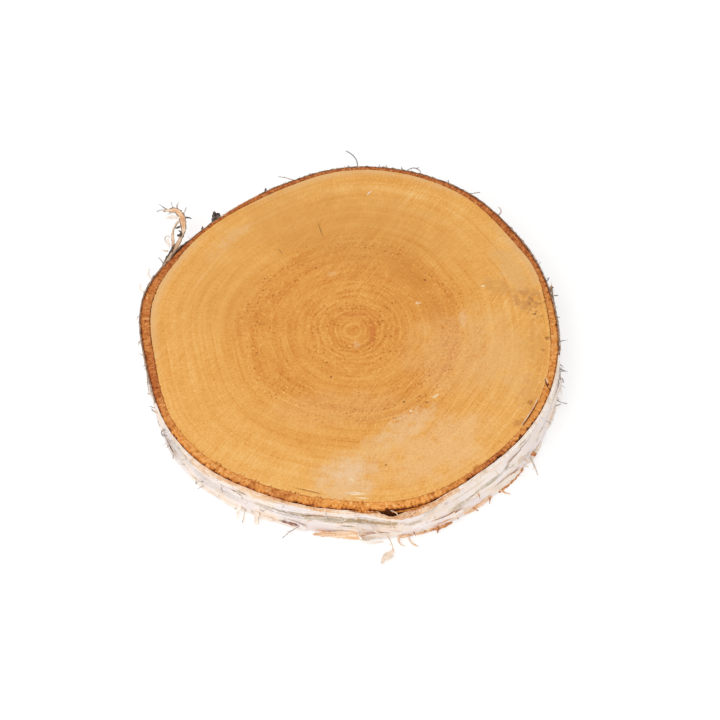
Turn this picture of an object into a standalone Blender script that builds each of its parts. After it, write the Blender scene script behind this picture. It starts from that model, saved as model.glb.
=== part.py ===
"""A slice sawn across a birch trunk, a little off square, lying flat.

Three layers grew round one another, and each is one solid: the wood, the reddish inner bark round it, and the
white paper bark outside, with its torn sheets, curls and fibres grown on. The origin is where the pith meets
the underside, and +Z is up. Sizes are in millimetres until MM turns them into metres, and bearings are in
degrees round the pith, from +X towards +Y.
"""

import math
import random

import bmesh
import bpy
from mathutils import Matrix, Vector

MM = 0.001

# The slice: how thick it was sawn, and the open seam between one layer and the next.
THICKNESS = 20.0
SEAM = 0.3
FACETS = 144
CRUMBLE = 0.15

# The outer edge of the inner bark, as (bearing, radius). The trunk is nearly round, with flats and lobes.
TRUNK_OUTLINE = (
    (8, 93.6), (24, 93.9), (38, 94.3), (55, 95.9), (78, 95.0), (92, 93.3), (108, 89.8), (122, 88.3),
    (138, 88.8), (152, 91.4), (169, 95.8), (192, 92.7), (217, 95.2), (248, 91.9), (268, 92.5),
    (286, 95.7), (307, 93.4), (334, 94.8),
)
# How wide the inner bark is, as (bearing, width).
INNER_BARK_WIDTH = (
    (8, 3.6), (22, 2.5), (34, 3.7), (60, 2.6), (92, 1.9), (118, 2.6), (142, 1.8), (168, 4.6),
    (200, 3.8), (240, 3.3), (262, 3.8), (285, 4.4), (303, 2.7), (335, 3.3),
)

# The saw crossed the trunk a little off square, so the underside lies out by the lean, towards its bearing.
LEAN = 1.6
LEAN_BEARING = 312.0

# The paper bark. Its sheets are ragged where the saw crossed them, more so on the underside.
PAPER_THICKNESS = 0.9
PAPER_ROWS = 5
RAGGED_TOP = 0.5
RAGGED_UNDERSIDE = 1.3
WAVES = ((5, 0.25, 0.4), (11, 0.16, 1.9), (23, 0.10, 3.1))

# Where the paper bark stands off the inner bark in a blister, open at the top.
BLISTER_BEARING = 284.5
BLISTER_HALF_WIDTH = 13.0
BLISTER_DEPTH = 2.8
BLISTER_SAG = 1.0

# Where the paper bark's layers have fanned out along its lower edge.
FANNED_BEARING = 310.0
FANNED_HALF_WIDTH = 30.0
FANNED_DEPTH = 1.9

# Where a strip of paper bark has torn away and left the bark thin.
TORN_BEARING = 146.5
TORN_HALF_WIDTH = 6.5
TORN_THINNING = 0.25

# The long torn strip, from the bark outwards: (x, y, height of its middle, its own height) at each point.
TORN_STRIP = (
    (-93.2, 25.5, 15.6, 7.0), (-90.4, 33.0, 15.6, 7.2), (-87.0, 40.0, 15.8, 6.8),
    (-83.4, 46.8, 15.8, 5.4), (-80.0, 52.6, 15.9, 4.0), (-77.8, 57.6, 16.0, 3.4),
    (-77.0, 62.4, 16.2, 3.2), (-77.8, 66.6, 16.6, 3.0), (-80.4, 69.6, 17.0, 2.4),
    (-84.2, 70.2, 17.4, 1.5), (-88.2, 69.8, 17.6, 0.8),
)
# The thin strand beside it, which leaves an eye between the two, and the frayed ends.
TORN_STRAND = (
    (-83.6, 46.6, 14.4, 2.2), (-83.2, 51.6, 14.6, 1.8), (-83.6, 57.2, 15.2, 1.3),
    (-83.0, 61.4, 15.8, 1.3), (-80.8, 64.6, 16.0, 1.3), (-78.2, 67.0, 16.6, 1.2),
)
FRAYED_ENDS = (
    ((-86.0, 70.2, 17.4), (-88.2, 71.4, 18.0), (-90.2, 72.6, 18.4)),
    ((-87.0, 70.0, 17.5), (-89.0, 69.0, 17.6), (-91.0, 69.0, 17.8)),
    ((-81.6, 69.8, 17.0), (-83.4, 71.6, 18.0), (-84.6, 74.2, 18.6)),
    ((-80.6, 69.6, 17.0), (-81.8, 71.8, 18.0), (-81.4, 74.0, 18.8)),
    ((-77.6, 65.0, 16.4), (-76.4, 65.8, 17.0), (-74.6, 65.6, 17.4)),
    ((-78.6, 67.6, 17.0), (-77.8, 69.2, 17.8), (-77.2, 70.8, 18.4)),
    ((-81.6, 63.8, 16.0), (-83.6, 65.8, 16.2), (-86.2, 65.6, 16.2)),
    ((-84.2, 45.6, 14.8), (-86.2, 51.0, 15.4), (-85.2, 55.0, 16.0)),
)
STRIP_THICKNESS = 0.7
FRAYED_WIDTH = (0.9, 0.5)

# A scrap like a small leaf hangs at the end of one fibre: (x, y, height, width) at each point.
LEAF_SCRAP = (
    (18.9, -101.6, 2.6, 0.7), (18.0, -104.4, 2.5, 2.6), (16.0, -106.4, 2.3, 3.4),
    (14.6, -108.2, 2.1, 1.6), (14.0, -110.2, 2.0, 0.7),
)

# Torn sheets that lift off the bark at one end, as (bearing where it grows, bearing of its free end, middle
# height, its own height, lift of the free end).
SHEETS = (
    (6, 17, 15.5, 7.0, 2.2), (52, 34, 11.0, 6.0, 1.6), (63, 79, 14.5, 5.0, 1.3),
    (104, 90, 9.0, 7.0, 1.6), (122, 111, 14.0, 6.0, 1.6), (131, 120, 6.5, 6.0, 1.8),
    (176, 165, 8.0, 8.0, 1.5), (186, 198, 13.0, 5.5, 1.2), (205, 216, 6.0, 6.5, 1.3),
    (222, 240, 12.5, 6.5, 1.1), (249, 258, 3.6, 4.6, 1.3), (272, 260, 2.4, 3.6, 2.8),
    (268, 258, 13.0, 5.0, 1.1), (283, 273, 3.4, 4.8, 2.3), (287, 300, 4.8, 6.6, 1.2),
    (310, 320, 3.4, 5.0, 1.1), (329, 316, 13.5, 6.0, 1.2), (338, 349, 8.5, 7.0, 1.3),
    (357, 346, 4.5, 5.0, 1.7),
)
SHEET_THICKNESS = 0.8
SHEET_SINK = 0.1
SHEET_NARROWING = 0.45
SHEET_STATIONS = 7

# Curls and fibres seen on the slice, as (bearing, height, length, lean, turn, rise). The lean is how far the
# root points round the trunk from straight out, the turn is how far it swings, and the rise is its slope.
CURLS = (
    (4, 14.0, 2.4, 60, 0, 0), (13, 17.0, 3.3, -8, 0, 0), (14, 18.6, 2.5, 26, 0, 5),
    (17, 18.4, 3.0, 43, 0, 5), (23, 19.0, 1.8, 31, 0, 15), (31, 17.4, 3.2, 66, 0, 10),
    (34, 17.2, 2.2, 41, 0, 10), (37, 18.0, 2.6, 52, 0, 10), (44, 19.0, 5.6, -31, 128, 8),
    (55, 19.0, 5.8, -56, 6, 10), (61, 18.8, 2.2, 35, 0, 15), (74, 19.0, 9.8, -26, -128, 5),
    (75, 18.8, 2.2, 28, 0, 15), (79, 19.0, 2.0, 45, 0, 15), (82, 19.0, 1.8, -10, 0, 15),
    (88, 19.2, 11.2, 2, 66, 10), (91, 19.0, 1.5, -20, 0, 15), (103, 19.0, 1.9, -45, 0, 15),
    (107, 19.0, 7.7, 10, 39, 8), (141, 18.6, 2.2, -63, 0, 10), (157, 18.4, 5.6, -50, 30, 8),
    (158, 18.0, 5.3, -66, -26, 8), (163, 17.0, 5.1, -59, -40, 3), (166, 16.3, 2.1, -9, 0, 5),
    (178, 8.0, 4.4, 10, 120, 0), (190, 17.0, 1.5, 42, 0, 0), (200, 17.0, 2.4, -14, 0, 0),
    (206, 15.5, 4.1, -42, -40, 0), (211, 14.4, 6.0, -17, 180, 0), (213, 12.6, 5.4, 60, -29, 0),
    (216, 10.0, 4.8, 41, 0, 0), (220, 6.3, 1.5, -29, 0, 0), (224, 1.8, 2.1, 42, 0, 0),
    (227, 2.1, 3.0, -17, 0, 0), (239, 1.6, 3.2, -41, 0, 0), (240, 1.8, 7.1, 24, -4, 0),
    (244, 3.0, 5.5, 27, 0, -6), (257, 3.4, 11.0, -50, 15, -6), (279, 2.6, 8.6, 23, -25, 0),
    (284, 2.0, 9.4, -84, 146, 0), (285, 2.0, 8.3, -24, 81, 0), (286, 3.4, 2.2, 8, 0, 0),
    (293, 1.8, 4.0, -24, -12, 0), (296, 1.8, 3.5, -27, -119, 0), (299, 1.6, 1.7, -47, 0, 0),
    (303, 1.8, 3.0, 27, 0, 0), (309, 2.0, 4.1, -29, -24, 0), (312, 2.0, 5.8, 13, 19, 0),
    (322, 2.2, 2.4, 13, 0, 0), (325, 3.0, 10.0, -30, -10, -6), (326, 3.0, 3.4, 65, 0, 8),
    (338, 2.4, 2.1, -58, 0, 0), (342, 2.8, 3.6, 48, -6, 0), (345, 2.6, 5.5, -31, 38, 0),
    (349, 8.3, 4.0, 32, -136, 0), (349.5, 11.5, 3.4, 50, -40, 0), (350, 14.0, 4.0, -15, 0, 0),
)
# Widths here run from root to tip, and no curl dips below the least height or far above the slice.
CURL_WIDTH = (0.75, 0.5)
CURL_STATIONS = 5
ROOT_DEPTH = 0.55
CURL_HEIGHTS = (0.8, 24.0)

# Finer torn fibres grow all the way round by a rule, with seeded draws.
FIBRES = 60
FIBRE_SEED = 11
FIBRE_LENGTH = (1.8, 4.5)
FIBRE_WIDTH = (0.65, 0.4)
FIBRE_STATIONS = 4

# Dark crusts of old bark, as (bearing, height, length, lean, width), with their roots less deep.
CRUSTS = (
    (136, 17.4, 4.6, -45, 2.0), (134, 17.0, 3.4, -60, 1.8), (117, 18.2, 1.8, -27, 1.4),
    (326, 3.6, 1.8, 0, 2.4),
)
CRUST_DEPTH = 0.1
CRUST_TIP = 0.9
CRUST_RISE = 10


def clear_scene():
    for obj in list(bpy.data.objects):
        bpy.data.objects.remove(obj, do_unlink=True)


def round_curve(points, bearing):
    """The value at a bearing on a smooth closed curve through (bearing, value) points."""
    count = len(points)
    bearing %= 360.0
    after = next((i for i, point in enumerate(points) if point[0] > bearing), count)
    spots = [after - 2, after - 1, after, after + 1]
    (b0, v0), (b1, v1), (b2, v2), (b3, v3) = [
        (points[i % count][0] + 360.0 * (i // count), points[i % count][1]) for i in spots
    ]
    span = b2 - b1
    share = (bearing - b1) / span
    slope1 = (v2 - v0) / (b2 - b0) * span
    slope2 = (v3 - v1) / (b3 - b1) * span
    return (
        v1 * (2 * share**3 - 3 * share**2 + 1)
        + slope1 * (share**3 - 2 * share**2 + share)
        + v2 * (3 * share**2 - 2 * share**3)
        + slope2 * (share**3 - share**2)
    )


def hump(bearing, middle, half_width):
    """1 at the middle bearing, falling smoothly to 0 half a width away on either side."""
    away = abs((bearing - middle + 180.0) % 360.0 - 180.0)
    return 0.5 + 0.5 * math.cos(math.pi * away / half_width) if away < half_width else 0.0


def inner_bark_edge(bearing):
    return round_curve(TRUNK_OUTLINE, bearing)


def wood_edge(bearing):
    return inner_bark_edge(bearing) - round_curve(INNER_BARK_WIDTH, bearing)


def paper_inside(bearing, height):
    """The paper bark's inner radius, which leaves the inner bark only in the blister."""
    lift = BLISTER_DEPTH * hump(bearing, BLISTER_BEARING, BLISTER_HALF_WIDTH) * height / THICKNESS
    return inner_bark_edge(bearing) + SEAM + lift


def paper_outside(bearing, height):
    """The paper bark's outer radius, with the torn stretch, the fanned edge and waves."""
    thickness = PAPER_THICKNESS - TORN_THINNING * hump(bearing, TORN_BEARING, TORN_HALF_WIDTH)
    down = 1.0 - height / THICKNESS
    fan = FANNED_DEPTH * hump(bearing, FANNED_BEARING, FANNED_HALF_WIDTH) * down
    wave = sum(size * math.sin(math.radians(times * bearing) + phase - down) for times, size, phase in WAVES)
    return paper_inside(bearing, height) + thickness + fan + max(0.0, wave)


def at(bearing, radius, height):
    """The point at a bearing, a radius from the leaning pith, and a height."""
    angle = math.radians(bearing)
    out = LEAN * (1.0 - height / THICKNESS)
    lean = math.radians(LEAN_BEARING)
    x = radius * math.cos(angle) + out * math.cos(lean)
    y = radius * math.sin(angle) + out * math.sin(lean)
    return Vector((x, y, height))


def bearings(count=FACETS):
    return [360.0 * i / count for i in range(count)]


def finish(name, mesh, colour, roughness):
    """Turns a mesh in millimetres into an object with a material of its own."""
    mesh.transform(Matrix.Scale(MM, 4))
    obj = bpy.data.objects.new(name, mesh)
    bpy.context.scene.collection.objects.link(obj)
    material = bpy.data.materials.new(name)
    material.use_nodes = True
    shader = material.node_tree.nodes["Principled BSDF"]
    shader.inputs["Base Color"].default_value = (*colour, 1.0)
    shader.inputs["Roughness"].default_value = roughness
    mesh.materials.append(material)
    mesh.shade_smooth()
    mesh.set_sharp_from_angle(angle=math.radians(30))
    return obj


def mesh_of(name, points, faces):
    """A mesh with its faces turned outwards."""
    shape = bmesh.new()
    verts = [shape.verts.new(point) for point in points]
    for face in faces:
        shape.faces.new([verts[i] for i in face])
    bmesh.ops.recalc_face_normals(shape, faces=shape.faces)
    mesh = bpy.data.meshes.new(name)
    shape.to_mesh(mesh)
    shape.free()
    return mesh


def loops_mesh(name, loops, closed_section):
    """A solid from loops of points, each joined to the next, with caps unless the section is closed."""
    size = len(loops[0])
    points = [point for loop in loops for point in loop]
    faces = []
    for i in range(len(loops) if closed_section else len(loops) - 1):
        here, there = i * size, (i + 1) % len(loops) * size
        faces += [(here + k, here + (k + 1) % size, there + (k + 1) % size, there + k) for k in range(size)]
    if not closed_section:
        faces += [tuple(range(size)), tuple(range(len(points) - size, len(points)))]
    return mesh_of(name, points, faces)


def make_wood():
    """The wood, which the saw left flat on both faces."""
    loops = [[at(b, wood_edge(b), height) for b in bearings()] for height in (0.0, THICKNESS)]
    return finish("wood", loops_mesh("wood", loops, False), (0.77, 0.36, 0.11), 0.75)


def make_inner_bark():
    """The ring of inner bark, with a crumbly outer edge."""
    draws = random.Random(3)
    crumble = [draws.uniform(-CRUMBLE, 0.0) for _ in bearings()]
    inside = [[at(b, wood_edge(b) + SEAM, height) for b in bearings()] for height in (0.0, THICKNESS)]
    outside = [
        [at(b, inner_bark_edge(b) + crumb, height) for b, crumb in zip(bearings(), crumble)]
        for height in (THICKNESS, 0.0)
    ]
    mesh = loops_mesh("inner_bark", inside + outside, True)
    return finish("inner_bark", mesh, (0.50, 0.17, 0.05), 0.85)


def paper_band():
    """The paper bark's unbroken layer, ragged along both sawn edges."""
    draws = random.Random(5)
    tops = []
    for b in bearings():
        sag = BLISTER_SAG * hump(b, BLISTER_BEARING, BLISTER_HALF_WIDTH)
        tops.append(THICKNESS - sag - draws.uniform(0.0, RAGGED_TOP))
    feet = [draws.uniform(0.0, RAGGED_UNDERSIDE) for _ in bearings()]
    shares = [row / PAPER_ROWS for row in range(PAPER_ROWS + 1)]

    def loop(radius_at, share):
        heights = [foot + share * (top - foot) for foot, top in zip(feet, tops)]
        return [at(b, radius_at(b, height), height) for b, height in zip(bearings(), heights)]

    outside = [loop(paper_outside, share) for share in shares]
    inside = [loop(paper_inside, share) for share in (1.0, 0.0)]
    return loops_mesh("paper_bark", outside + inside, True)


def smooth_path(points, steps):
    """Points along a smooth open curve through the given points, each a tuple of equal length."""
    padded = [points[0], *points, points[-1]]
    path = []
    for i in range(1, len(padded) - 2):
        for step in range(steps):
            t = step / steps
            shares = (-t + 2 * t**2 - t**3, 2 - 5 * t**2 + 3 * t**3, t + 4 * t**2 - 3 * t**3, t**3 - t**2)
            near = zip(*padded[i - 1 : i + 3])
            path.append(tuple(sum(share * value for share, value in zip(shares, axis)) / 2 for axis in near))
    return [*path, tuple(points[-1])]


def ribbon(name, centres, widths, thickness, lies_flat=False):
    """A ribbon along a path, standing on its edge or lying flat: its section is a thin rectangle."""
    loops = []
    for i, centre in enumerate(centres):
        along = centres[min(i + 1, len(centres) - 1)] - centres[max(i - 1, 0)]
        side = along.cross(Vector((0, 0, 1))).normalized()
        top = side.cross(along).normalized()
        across, out = (side, top) if lies_flat else (top, side)
        across = across * widths[i] / 2
        out = out * thickness / 2
        low, high = centre - across, centre + across
        loops.append([low - out, low + out, high + out, high - out])
    return loops_mesh(name, loops, False)


def fibre(name, centres, root_width, tip_width):
    """A tapering three-sided fibre along a path."""
    loops = []
    corners = [math.radians(120 * k) for k in range(3)]
    side = (centres[1] - centres[0]).orthogonal().normalized()
    for i, centre in enumerate(centres):
        along = (centres[min(i + 1, len(centres) - 1)] - centres[max(i - 1, 0)]).normalized()
        side = (side - along * side.dot(along)).normalized()
        other = along.cross(side)
        width = root_width + (tip_width - root_width) * i / (len(centres) - 1)
        loops.append([centre + (side * math.cos(c) + other * math.sin(c)) * width / 2 for c in corners])
    return loops_mesh(name, loops, False)


def curl_path(bearing, height, length, lean, turn, rise, stations=CURL_STATIONS, depth=ROOT_DEPTH):
    """Where a curl goes: out from a root sunk in the paper bark, swinging round on an even bend."""
    here = at(bearing, paper_outside(bearing, height) - depth, height)
    path = [here]
    step = (length + depth) / (stations - 1)
    for i in range(stations - 1):
        heading = math.radians(bearing + lean + turn * i / (stations - 2))
        slope = math.radians(rise) if i else 0.0
        flat = Vector((math.cos(heading), math.sin(heading), 0.0)) * math.cos(slope)
        here = here + (flat + Vector((0, 0, math.sin(slope)))) * step
        here.z = min(max(here.z, CURL_HEIGHTS[0]), CURL_HEIGHTS[1])
        path.append(here)
    return path


def sheet(number, grows, free, middle, own_height, lift):
    """A torn sheet: sunk in the bark where it grows, and lifting towards its narrower free end."""
    centres, heights = [], []
    for i in range(SHEET_STATIONS):
        share = i / (SHEET_STATIONS - 1)
        b = grows + (free - grows) * share
        centres.append(at(b, paper_outside(b, middle) - SHEET_SINK + lift * share**2, middle))
        heights.append(own_height * (1.0 - SHEET_NARROWING * share**2))
    return ribbon(f"sheet_{number}", centres, heights, SHEET_THICKNESS)


def torn_strip():
    """The long strip, the strand beside it and the leaf scrap, with the strip's frayed ends."""
    meshes = []
    for name, route in (("strip", TORN_STRIP), ("strand", TORN_STRAND), ("leaf_scrap", LEAF_SCRAP)):
        path = smooth_path(route, 2)
        centres = [Vector(point[:3]) for point in path]
        widths = [point[3] for point in path]
        meshes.append(ribbon(name, centres, widths, STRIP_THICKNESS, route is LEAF_SCRAP))
    for number, end in enumerate(FRAYED_ENDS):
        centres = [Vector(point) for point in smooth_path(end, 2)]
        meshes.append(fibre(f"frayed_{number}", centres, *FRAYED_WIDTH))
    return meshes


def fibre_draws():
    """The rule for the finer fibres: evenly spaced, then nudged, with everything else drawn."""
    draws = random.Random(FIBRE_SEED)
    for i in range(FIBRES):
        bearing = 360.0 * (i + draws.uniform(-0.35, 0.35)) / FIBRES
        height = draws.uniform(1.5, THICKNESS - 1.2)
        length = draws.uniform(*FIBRE_LENGTH)
        lean = draws.choice((-1, 1)) * draws.uniform(5, 55)
        turn = draws.choice((-1, 1)) * draws.uniform(10, 110)
        rise = draws.uniform(-18, 22)
        yield bearing, height, length, lean, turn, rise


def make_paper_bark():
    """The paper bark, with all that is torn from it joined on in one union."""
    bark = finish("paper_bark", paper_band(), (0.86, 0.78, 0.70), 0.7)
    grown = bpy.data.collections.new("grown_on")
    bpy.context.scene.collection.children.link(grown)
    meshes = [sheet(number, *sizes) for number, sizes in enumerate(SHEETS)]
    meshes += torn_strip()
    for number, curl in enumerate(CURLS):
        meshes.append(fibre(f"curl_{number}", curl_path(*curl), *CURL_WIDTH))
    for number, draw in enumerate(fibre_draws()):
        meshes.append(fibre(f"fibre_{number}", curl_path(*draw, FIBRE_STATIONS), *FIBRE_WIDTH))
    for number, (bearing, height, length, lean, width) in enumerate(CRUSTS):
        path = curl_path(bearing, height, length, lean, 0, CRUST_RISE, FIBRE_STATIONS, CRUST_DEPTH)
        meshes.append(fibre(f"crust_{number}", path, width, CRUST_TIP))
    for mesh in meshes:
        mesh.transform(Matrix.Scale(MM, 4))
        grown.objects.link(bpy.data.objects.new(mesh.name, mesh))
    union = bark.modifiers.new("grown on", "BOOLEAN")
    union.operation = "UNION"
    union.operand_type = "COLLECTION"
    union.collection = grown
    bpy.context.view_layer.update()
    graph = bpy.context.evaluated_depsgraph_get()
    joined = bpy.data.meshes.new_from_object(bark.evaluated_get(graph), depsgraph=graph)
    bark.modifiers.clear()
    bark.data = joined
    for obj in list(grown.objects):
        bpy.data.objects.remove(obj, do_unlink=True)
    bpy.data.collections.remove(grown)
    return bark


def main():
    clear_scene()
    make_wood()
    make_inner_bark()
    make_paper_bark()


main()
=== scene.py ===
# %% [markdown]
# A slice of birch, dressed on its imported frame
# The slice lies flat: a disc of pale orange wood, a rim of red-brown inner bark, and the white paper bark
# that peels away in sheets, curls and fibres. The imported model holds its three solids, and this lesson puts
# a finer mesh with a finish of its own over each of them, in the same places. Loading the frame comes
# first.

import math
import random

import bmesh
import bpy
import numpy as np
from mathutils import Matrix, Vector, noise


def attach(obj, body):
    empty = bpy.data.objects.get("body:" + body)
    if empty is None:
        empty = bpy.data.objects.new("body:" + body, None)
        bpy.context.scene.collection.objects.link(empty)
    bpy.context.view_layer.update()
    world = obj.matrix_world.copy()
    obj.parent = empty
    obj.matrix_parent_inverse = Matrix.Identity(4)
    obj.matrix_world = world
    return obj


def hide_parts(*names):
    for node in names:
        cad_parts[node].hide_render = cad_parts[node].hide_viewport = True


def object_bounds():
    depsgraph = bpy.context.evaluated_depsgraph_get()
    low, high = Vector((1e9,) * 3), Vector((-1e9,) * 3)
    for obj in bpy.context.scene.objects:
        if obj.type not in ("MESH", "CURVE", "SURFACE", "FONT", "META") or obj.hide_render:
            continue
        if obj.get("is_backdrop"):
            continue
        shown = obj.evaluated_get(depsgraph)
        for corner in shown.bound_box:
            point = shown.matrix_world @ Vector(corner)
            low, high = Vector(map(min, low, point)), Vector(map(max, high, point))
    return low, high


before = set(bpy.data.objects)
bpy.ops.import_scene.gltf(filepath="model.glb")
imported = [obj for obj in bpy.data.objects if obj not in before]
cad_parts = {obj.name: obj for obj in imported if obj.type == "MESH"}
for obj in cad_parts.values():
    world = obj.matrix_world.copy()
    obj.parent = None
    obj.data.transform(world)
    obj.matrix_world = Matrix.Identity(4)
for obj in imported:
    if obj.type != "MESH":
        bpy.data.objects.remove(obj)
CAD_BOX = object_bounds()
MM = 0.001
print("CAD box, mm:", [[round(float(value) / MM, 1) for value in corner] for corner in CAD_BOX])

# %% [markdown]
# The camera
# The photograph looks down on the slice from well above, through a long lens that hardly spreads the far
# edge from the near one. A camera is easiest to aim by the point it looks at, its height angle and its
# distance, so those are the values here. Setting it first lets every later step be checked against the
# photograph.

# %% Camera
LOOK_AT = Vector((4.52, -16.25, 20.0)) * MM
CAMERA_ELEVATION = math.radians(56.5)
CAMERA_DISTANCE = 985 * MM
LENS_MM = 110.0

camera = bpy.data.objects.new("camera", bpy.data.cameras.new("camera"))
bpy.context.scene.collection.objects.link(camera)
bpy.context.scene.camera = camera
backwards = Vector((0.0, -math.cos(CAMERA_ELEVATION), math.sin(CAMERA_ELEVATION)))
camera.location = LOOK_AT + backwards * CAMERA_DISTANCE
camera.rotation_euler = (-backwards).to_track_quat("-Z", "Y").to_euler()
camera.data.lens = LENS_MM
camera.data.sensor_width = 36.0
print("camera at, mm:", [round(value / MM, 1) for value in camera.location])

# %% [markdown]
# The trunk's outline
# Nothing here is a true circle: the trunk has flats and lobes, and the inner bark is thick on one side and
# thin on another. The CAD source describes both as a few radii at bearings round the pith, with a smooth
# closed curve through them. The same driving values are repeated here, so that every finer mesh stays on
# its solid.

# %% Outline curves
THICKNESS = 20.0
SEAM = 0.3
TRUNK_OUTLINE = (
    (8, 93.6), (24, 93.9), (38, 94.3), (55, 95.9), (78, 95.0), (92, 93.3), (108, 89.8), (122, 88.3),
    (138, 88.8), (152, 91.4), (169, 95.8), (192, 92.7), (217, 95.2), (248, 91.9), (268, 92.5),
    (286, 95.7), (307, 93.4), (334, 94.8),
)
INNER_BARK_WIDTH = (
    (8, 3.6), (22, 2.5), (34, 3.7), (60, 2.6), (92, 1.9), (118, 2.6), (142, 1.8), (168, 4.6),
    (200, 3.8), (240, 3.3), (262, 3.8), (285, 4.4), (303, 2.7), (335, 3.3),
)


def round_curve(points, bearing):
    """The value at each bearing on a smooth closed curve through (bearing, value) points."""
    known = np.array(points, float)
    count = len(known)
    bearing = np.asarray(bearing, float) % 360.0
    after = np.searchsorted(known[:, 0], bearing, side="right")
    spots = [after + shift for shift in (-2, -1, 0, 1)]
    b0, b1, b2, b3 = [known[spot % count, 0] + 360.0 * (spot // count) for spot in spots]
    v0, v1, v2, v3 = [known[spot % count, 1] for spot in spots]
    span = b2 - b1
    share = (bearing - b1) / span
    slope1 = (v2 - v0) / (b2 - b0) * span
    slope2 = (v3 - v1) / (b3 - b1) * span
    return (
        v1 * (2 * share**3 - 3 * share**2 + 1)
        + slope1 * (share**3 - 2 * share**2 + share)
        + v2 * (3 * share**2 - 2 * share**3)
        + slope2 * (share**3 - share**2)
    )


def inner_bark_edge(bearing):
    return round_curve(TRUNK_OUTLINE, bearing)


def wood_edge(bearing):
    return inner_bark_edge(bearing) - round_curve(INNER_BARK_WIDTH, bearing)


radii = [round(float(wood_edge(bearing)), 1) for bearing in (0, 120)]
print("wood radius to the right and behind, mm:", radii)

# %% [markdown]
# The lean of the trunk
# The saw crossed the trunk a little off square, so the underside lies out towards the lower right. One
# function turns a bearing, a radius and a height into a point, and every layer of the slice is made through
# it.

# %% Points round the trunk
LEAN = 1.6
LEAN_BEARING = math.radians(312.0)


def at(bearing, radius, height):
    """Points at bearings, at radii from the leaning pith, and at heights, in millimetres."""
    angle = np.radians(bearing)
    out = LEAN * (1.0 - height / THICKNESS)
    x = radius * np.cos(angle) + out * math.cos(LEAN_BEARING)
    y = radius * np.sin(angle) + out * math.sin(LEAN_BEARING)
    return np.stack(np.broadcast_arrays(x, y, height), axis=-1)


def hump(bearing, middle, half_width):
    """1 at the middle bearing, falling smoothly to 0 half a width away on either side."""
    away = np.abs((bearing - middle + 180.0) % 360.0 - 180.0)
    return np.where(away < half_width, 0.5 + 0.5 * np.cos(np.pi * away / half_width), 0.0)


print("underside's pith, mm:", np.round(at(0.0, 0.0, 0.0), 2))

# %% [markdown]
# Unevenness
# Bark is never smooth, and a torn edge is never straight. Smooth noise gives both: it is read at a point in
# millimetres divided by the size of the lumps wanted, so a size in the code is a size on the bark. A seed
# moves the reading to another part of the same noise, which keeps every run of the script the same.

# %% Smooth noise
def wobble(points, lump, seed):
    """Noise from about -1 to 1 at each point, with one lump size in millimetres or one for each axis."""
    points = np.asarray(points, float)
    read = points.reshape(-1, 3) / np.asarray(lump, float) + np.array((17.3, 5.1, 11.7)) * seed
    return np.array([noise.noise(Vector(place)) for place in read]).reshape(points.shape[:-1]) * 1.6


def rise(value, start, end):
    """0 before the start and 1 after the end, with a smooth step between them."""
    share = np.clip((np.asarray(value, float) - start) / (end - start), 0.0, 1.0)
    return share * share * (3.0 - 2.0 * share)


print("noise at two points:", np.round(wobble([[0.3, 0, 0], [5, 2, 1]], 2.0, 1), 2))

# %% [markdown]
# Skins
# Everything on the slice is a closed skin: a disc, a ring, a thin sheet or a tapering fibre. Each is a set
# of points and faces, with a number for the finish of each face and marks that the finishes read, such as
# how warm a fibre's colour is. Skins of one kind are gathered into one piece, because hundreds of separate
# objects would be slow and hard to keep in order.

# %% From skins to a piece
def skin(points, faces, finish=0, **marks):
    """One closed skin, with one finish number or one for each face, and marks for its points."""
    points = np.asarray(points, float).reshape(-1, 3)
    finishes = np.broadcast_to(finish, len(faces))
    marks = {name: np.asarray(value, float).reshape(-1) for name, value in marks.items()}
    marks = {name: np.broadcast_to(value, len(points)) for name, value in marks.items()}
    return {"points": points, "faces": faces, "finishes": finishes, "marks": marks}


def make_piece(name, skins, node, sharp=40):
    """One object from several skins, riding on the body in place of a CAD node."""
    starts = np.cumsum([0] + [len(part["points"]) for part in skins])
    faces = []
    for start, part in zip(starts.tolist(), skins):
        faces += [tuple(int(i) + start for i in face) for face in part["faces"]]
    mesh = bpy.data.meshes.new(name)
    mesh.from_pydata(np.concatenate([part["points"] for part in skins]) * MM, [], faces)
    finishes = np.concatenate([part["finishes"] for part in skins]).astype(np.int32)
    mesh.polygons.foreach_set("material_index", finishes)
    for mark in skins[0]["marks"]:
        values = np.concatenate([part["marks"][mark] for part in skins]).astype(np.float32)
        mesh.attributes.new(mark, "FLOAT", "POINT").data.foreach_set("value", values)
    shape = bmesh.new()
    shape.from_mesh(mesh)
    bmesh.ops.recalc_face_normals(shape, faces=shape.faces)
    shape.to_mesh(mesh)
    shape.free()
    mesh.shade_smooth()
    mesh.set_sharp_from_angle(angle=math.radians(sharp))
    piece = bpy.data.objects.new(name, mesh)
    bpy.context.scene.collection.objects.link(piece)
    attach(piece, "root")
    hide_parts(node)
    triangles = sum(len(face) - 2 for face in faces)
    print(name, "is made of", len(skins), "skins,", triangles, "triangles")
    return piece


# %% [markdown]
# Rings and grids
# A ring is a stack of closed loops, each joined to the next. A sheet is two grids, front and back, closed
# round their edges. Two small functions number those faces, and every shape below is made with them.

# %% Faces of rings and grids
def loop_faces(loops, count, joined_up):
    """Quads between closed loops of points, and from the last loop back to the first if it is joined up."""
    here = np.arange(loops if joined_up else loops - 1)[:, None] * count
    there = (here + count) % (loops * count)
    k = np.arange(count)[None, :]
    after = (k + 1) % count
    return np.stack([here + k, here + after, there + after, there + k], axis=-1).reshape(-1, 4).tolist()


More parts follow.
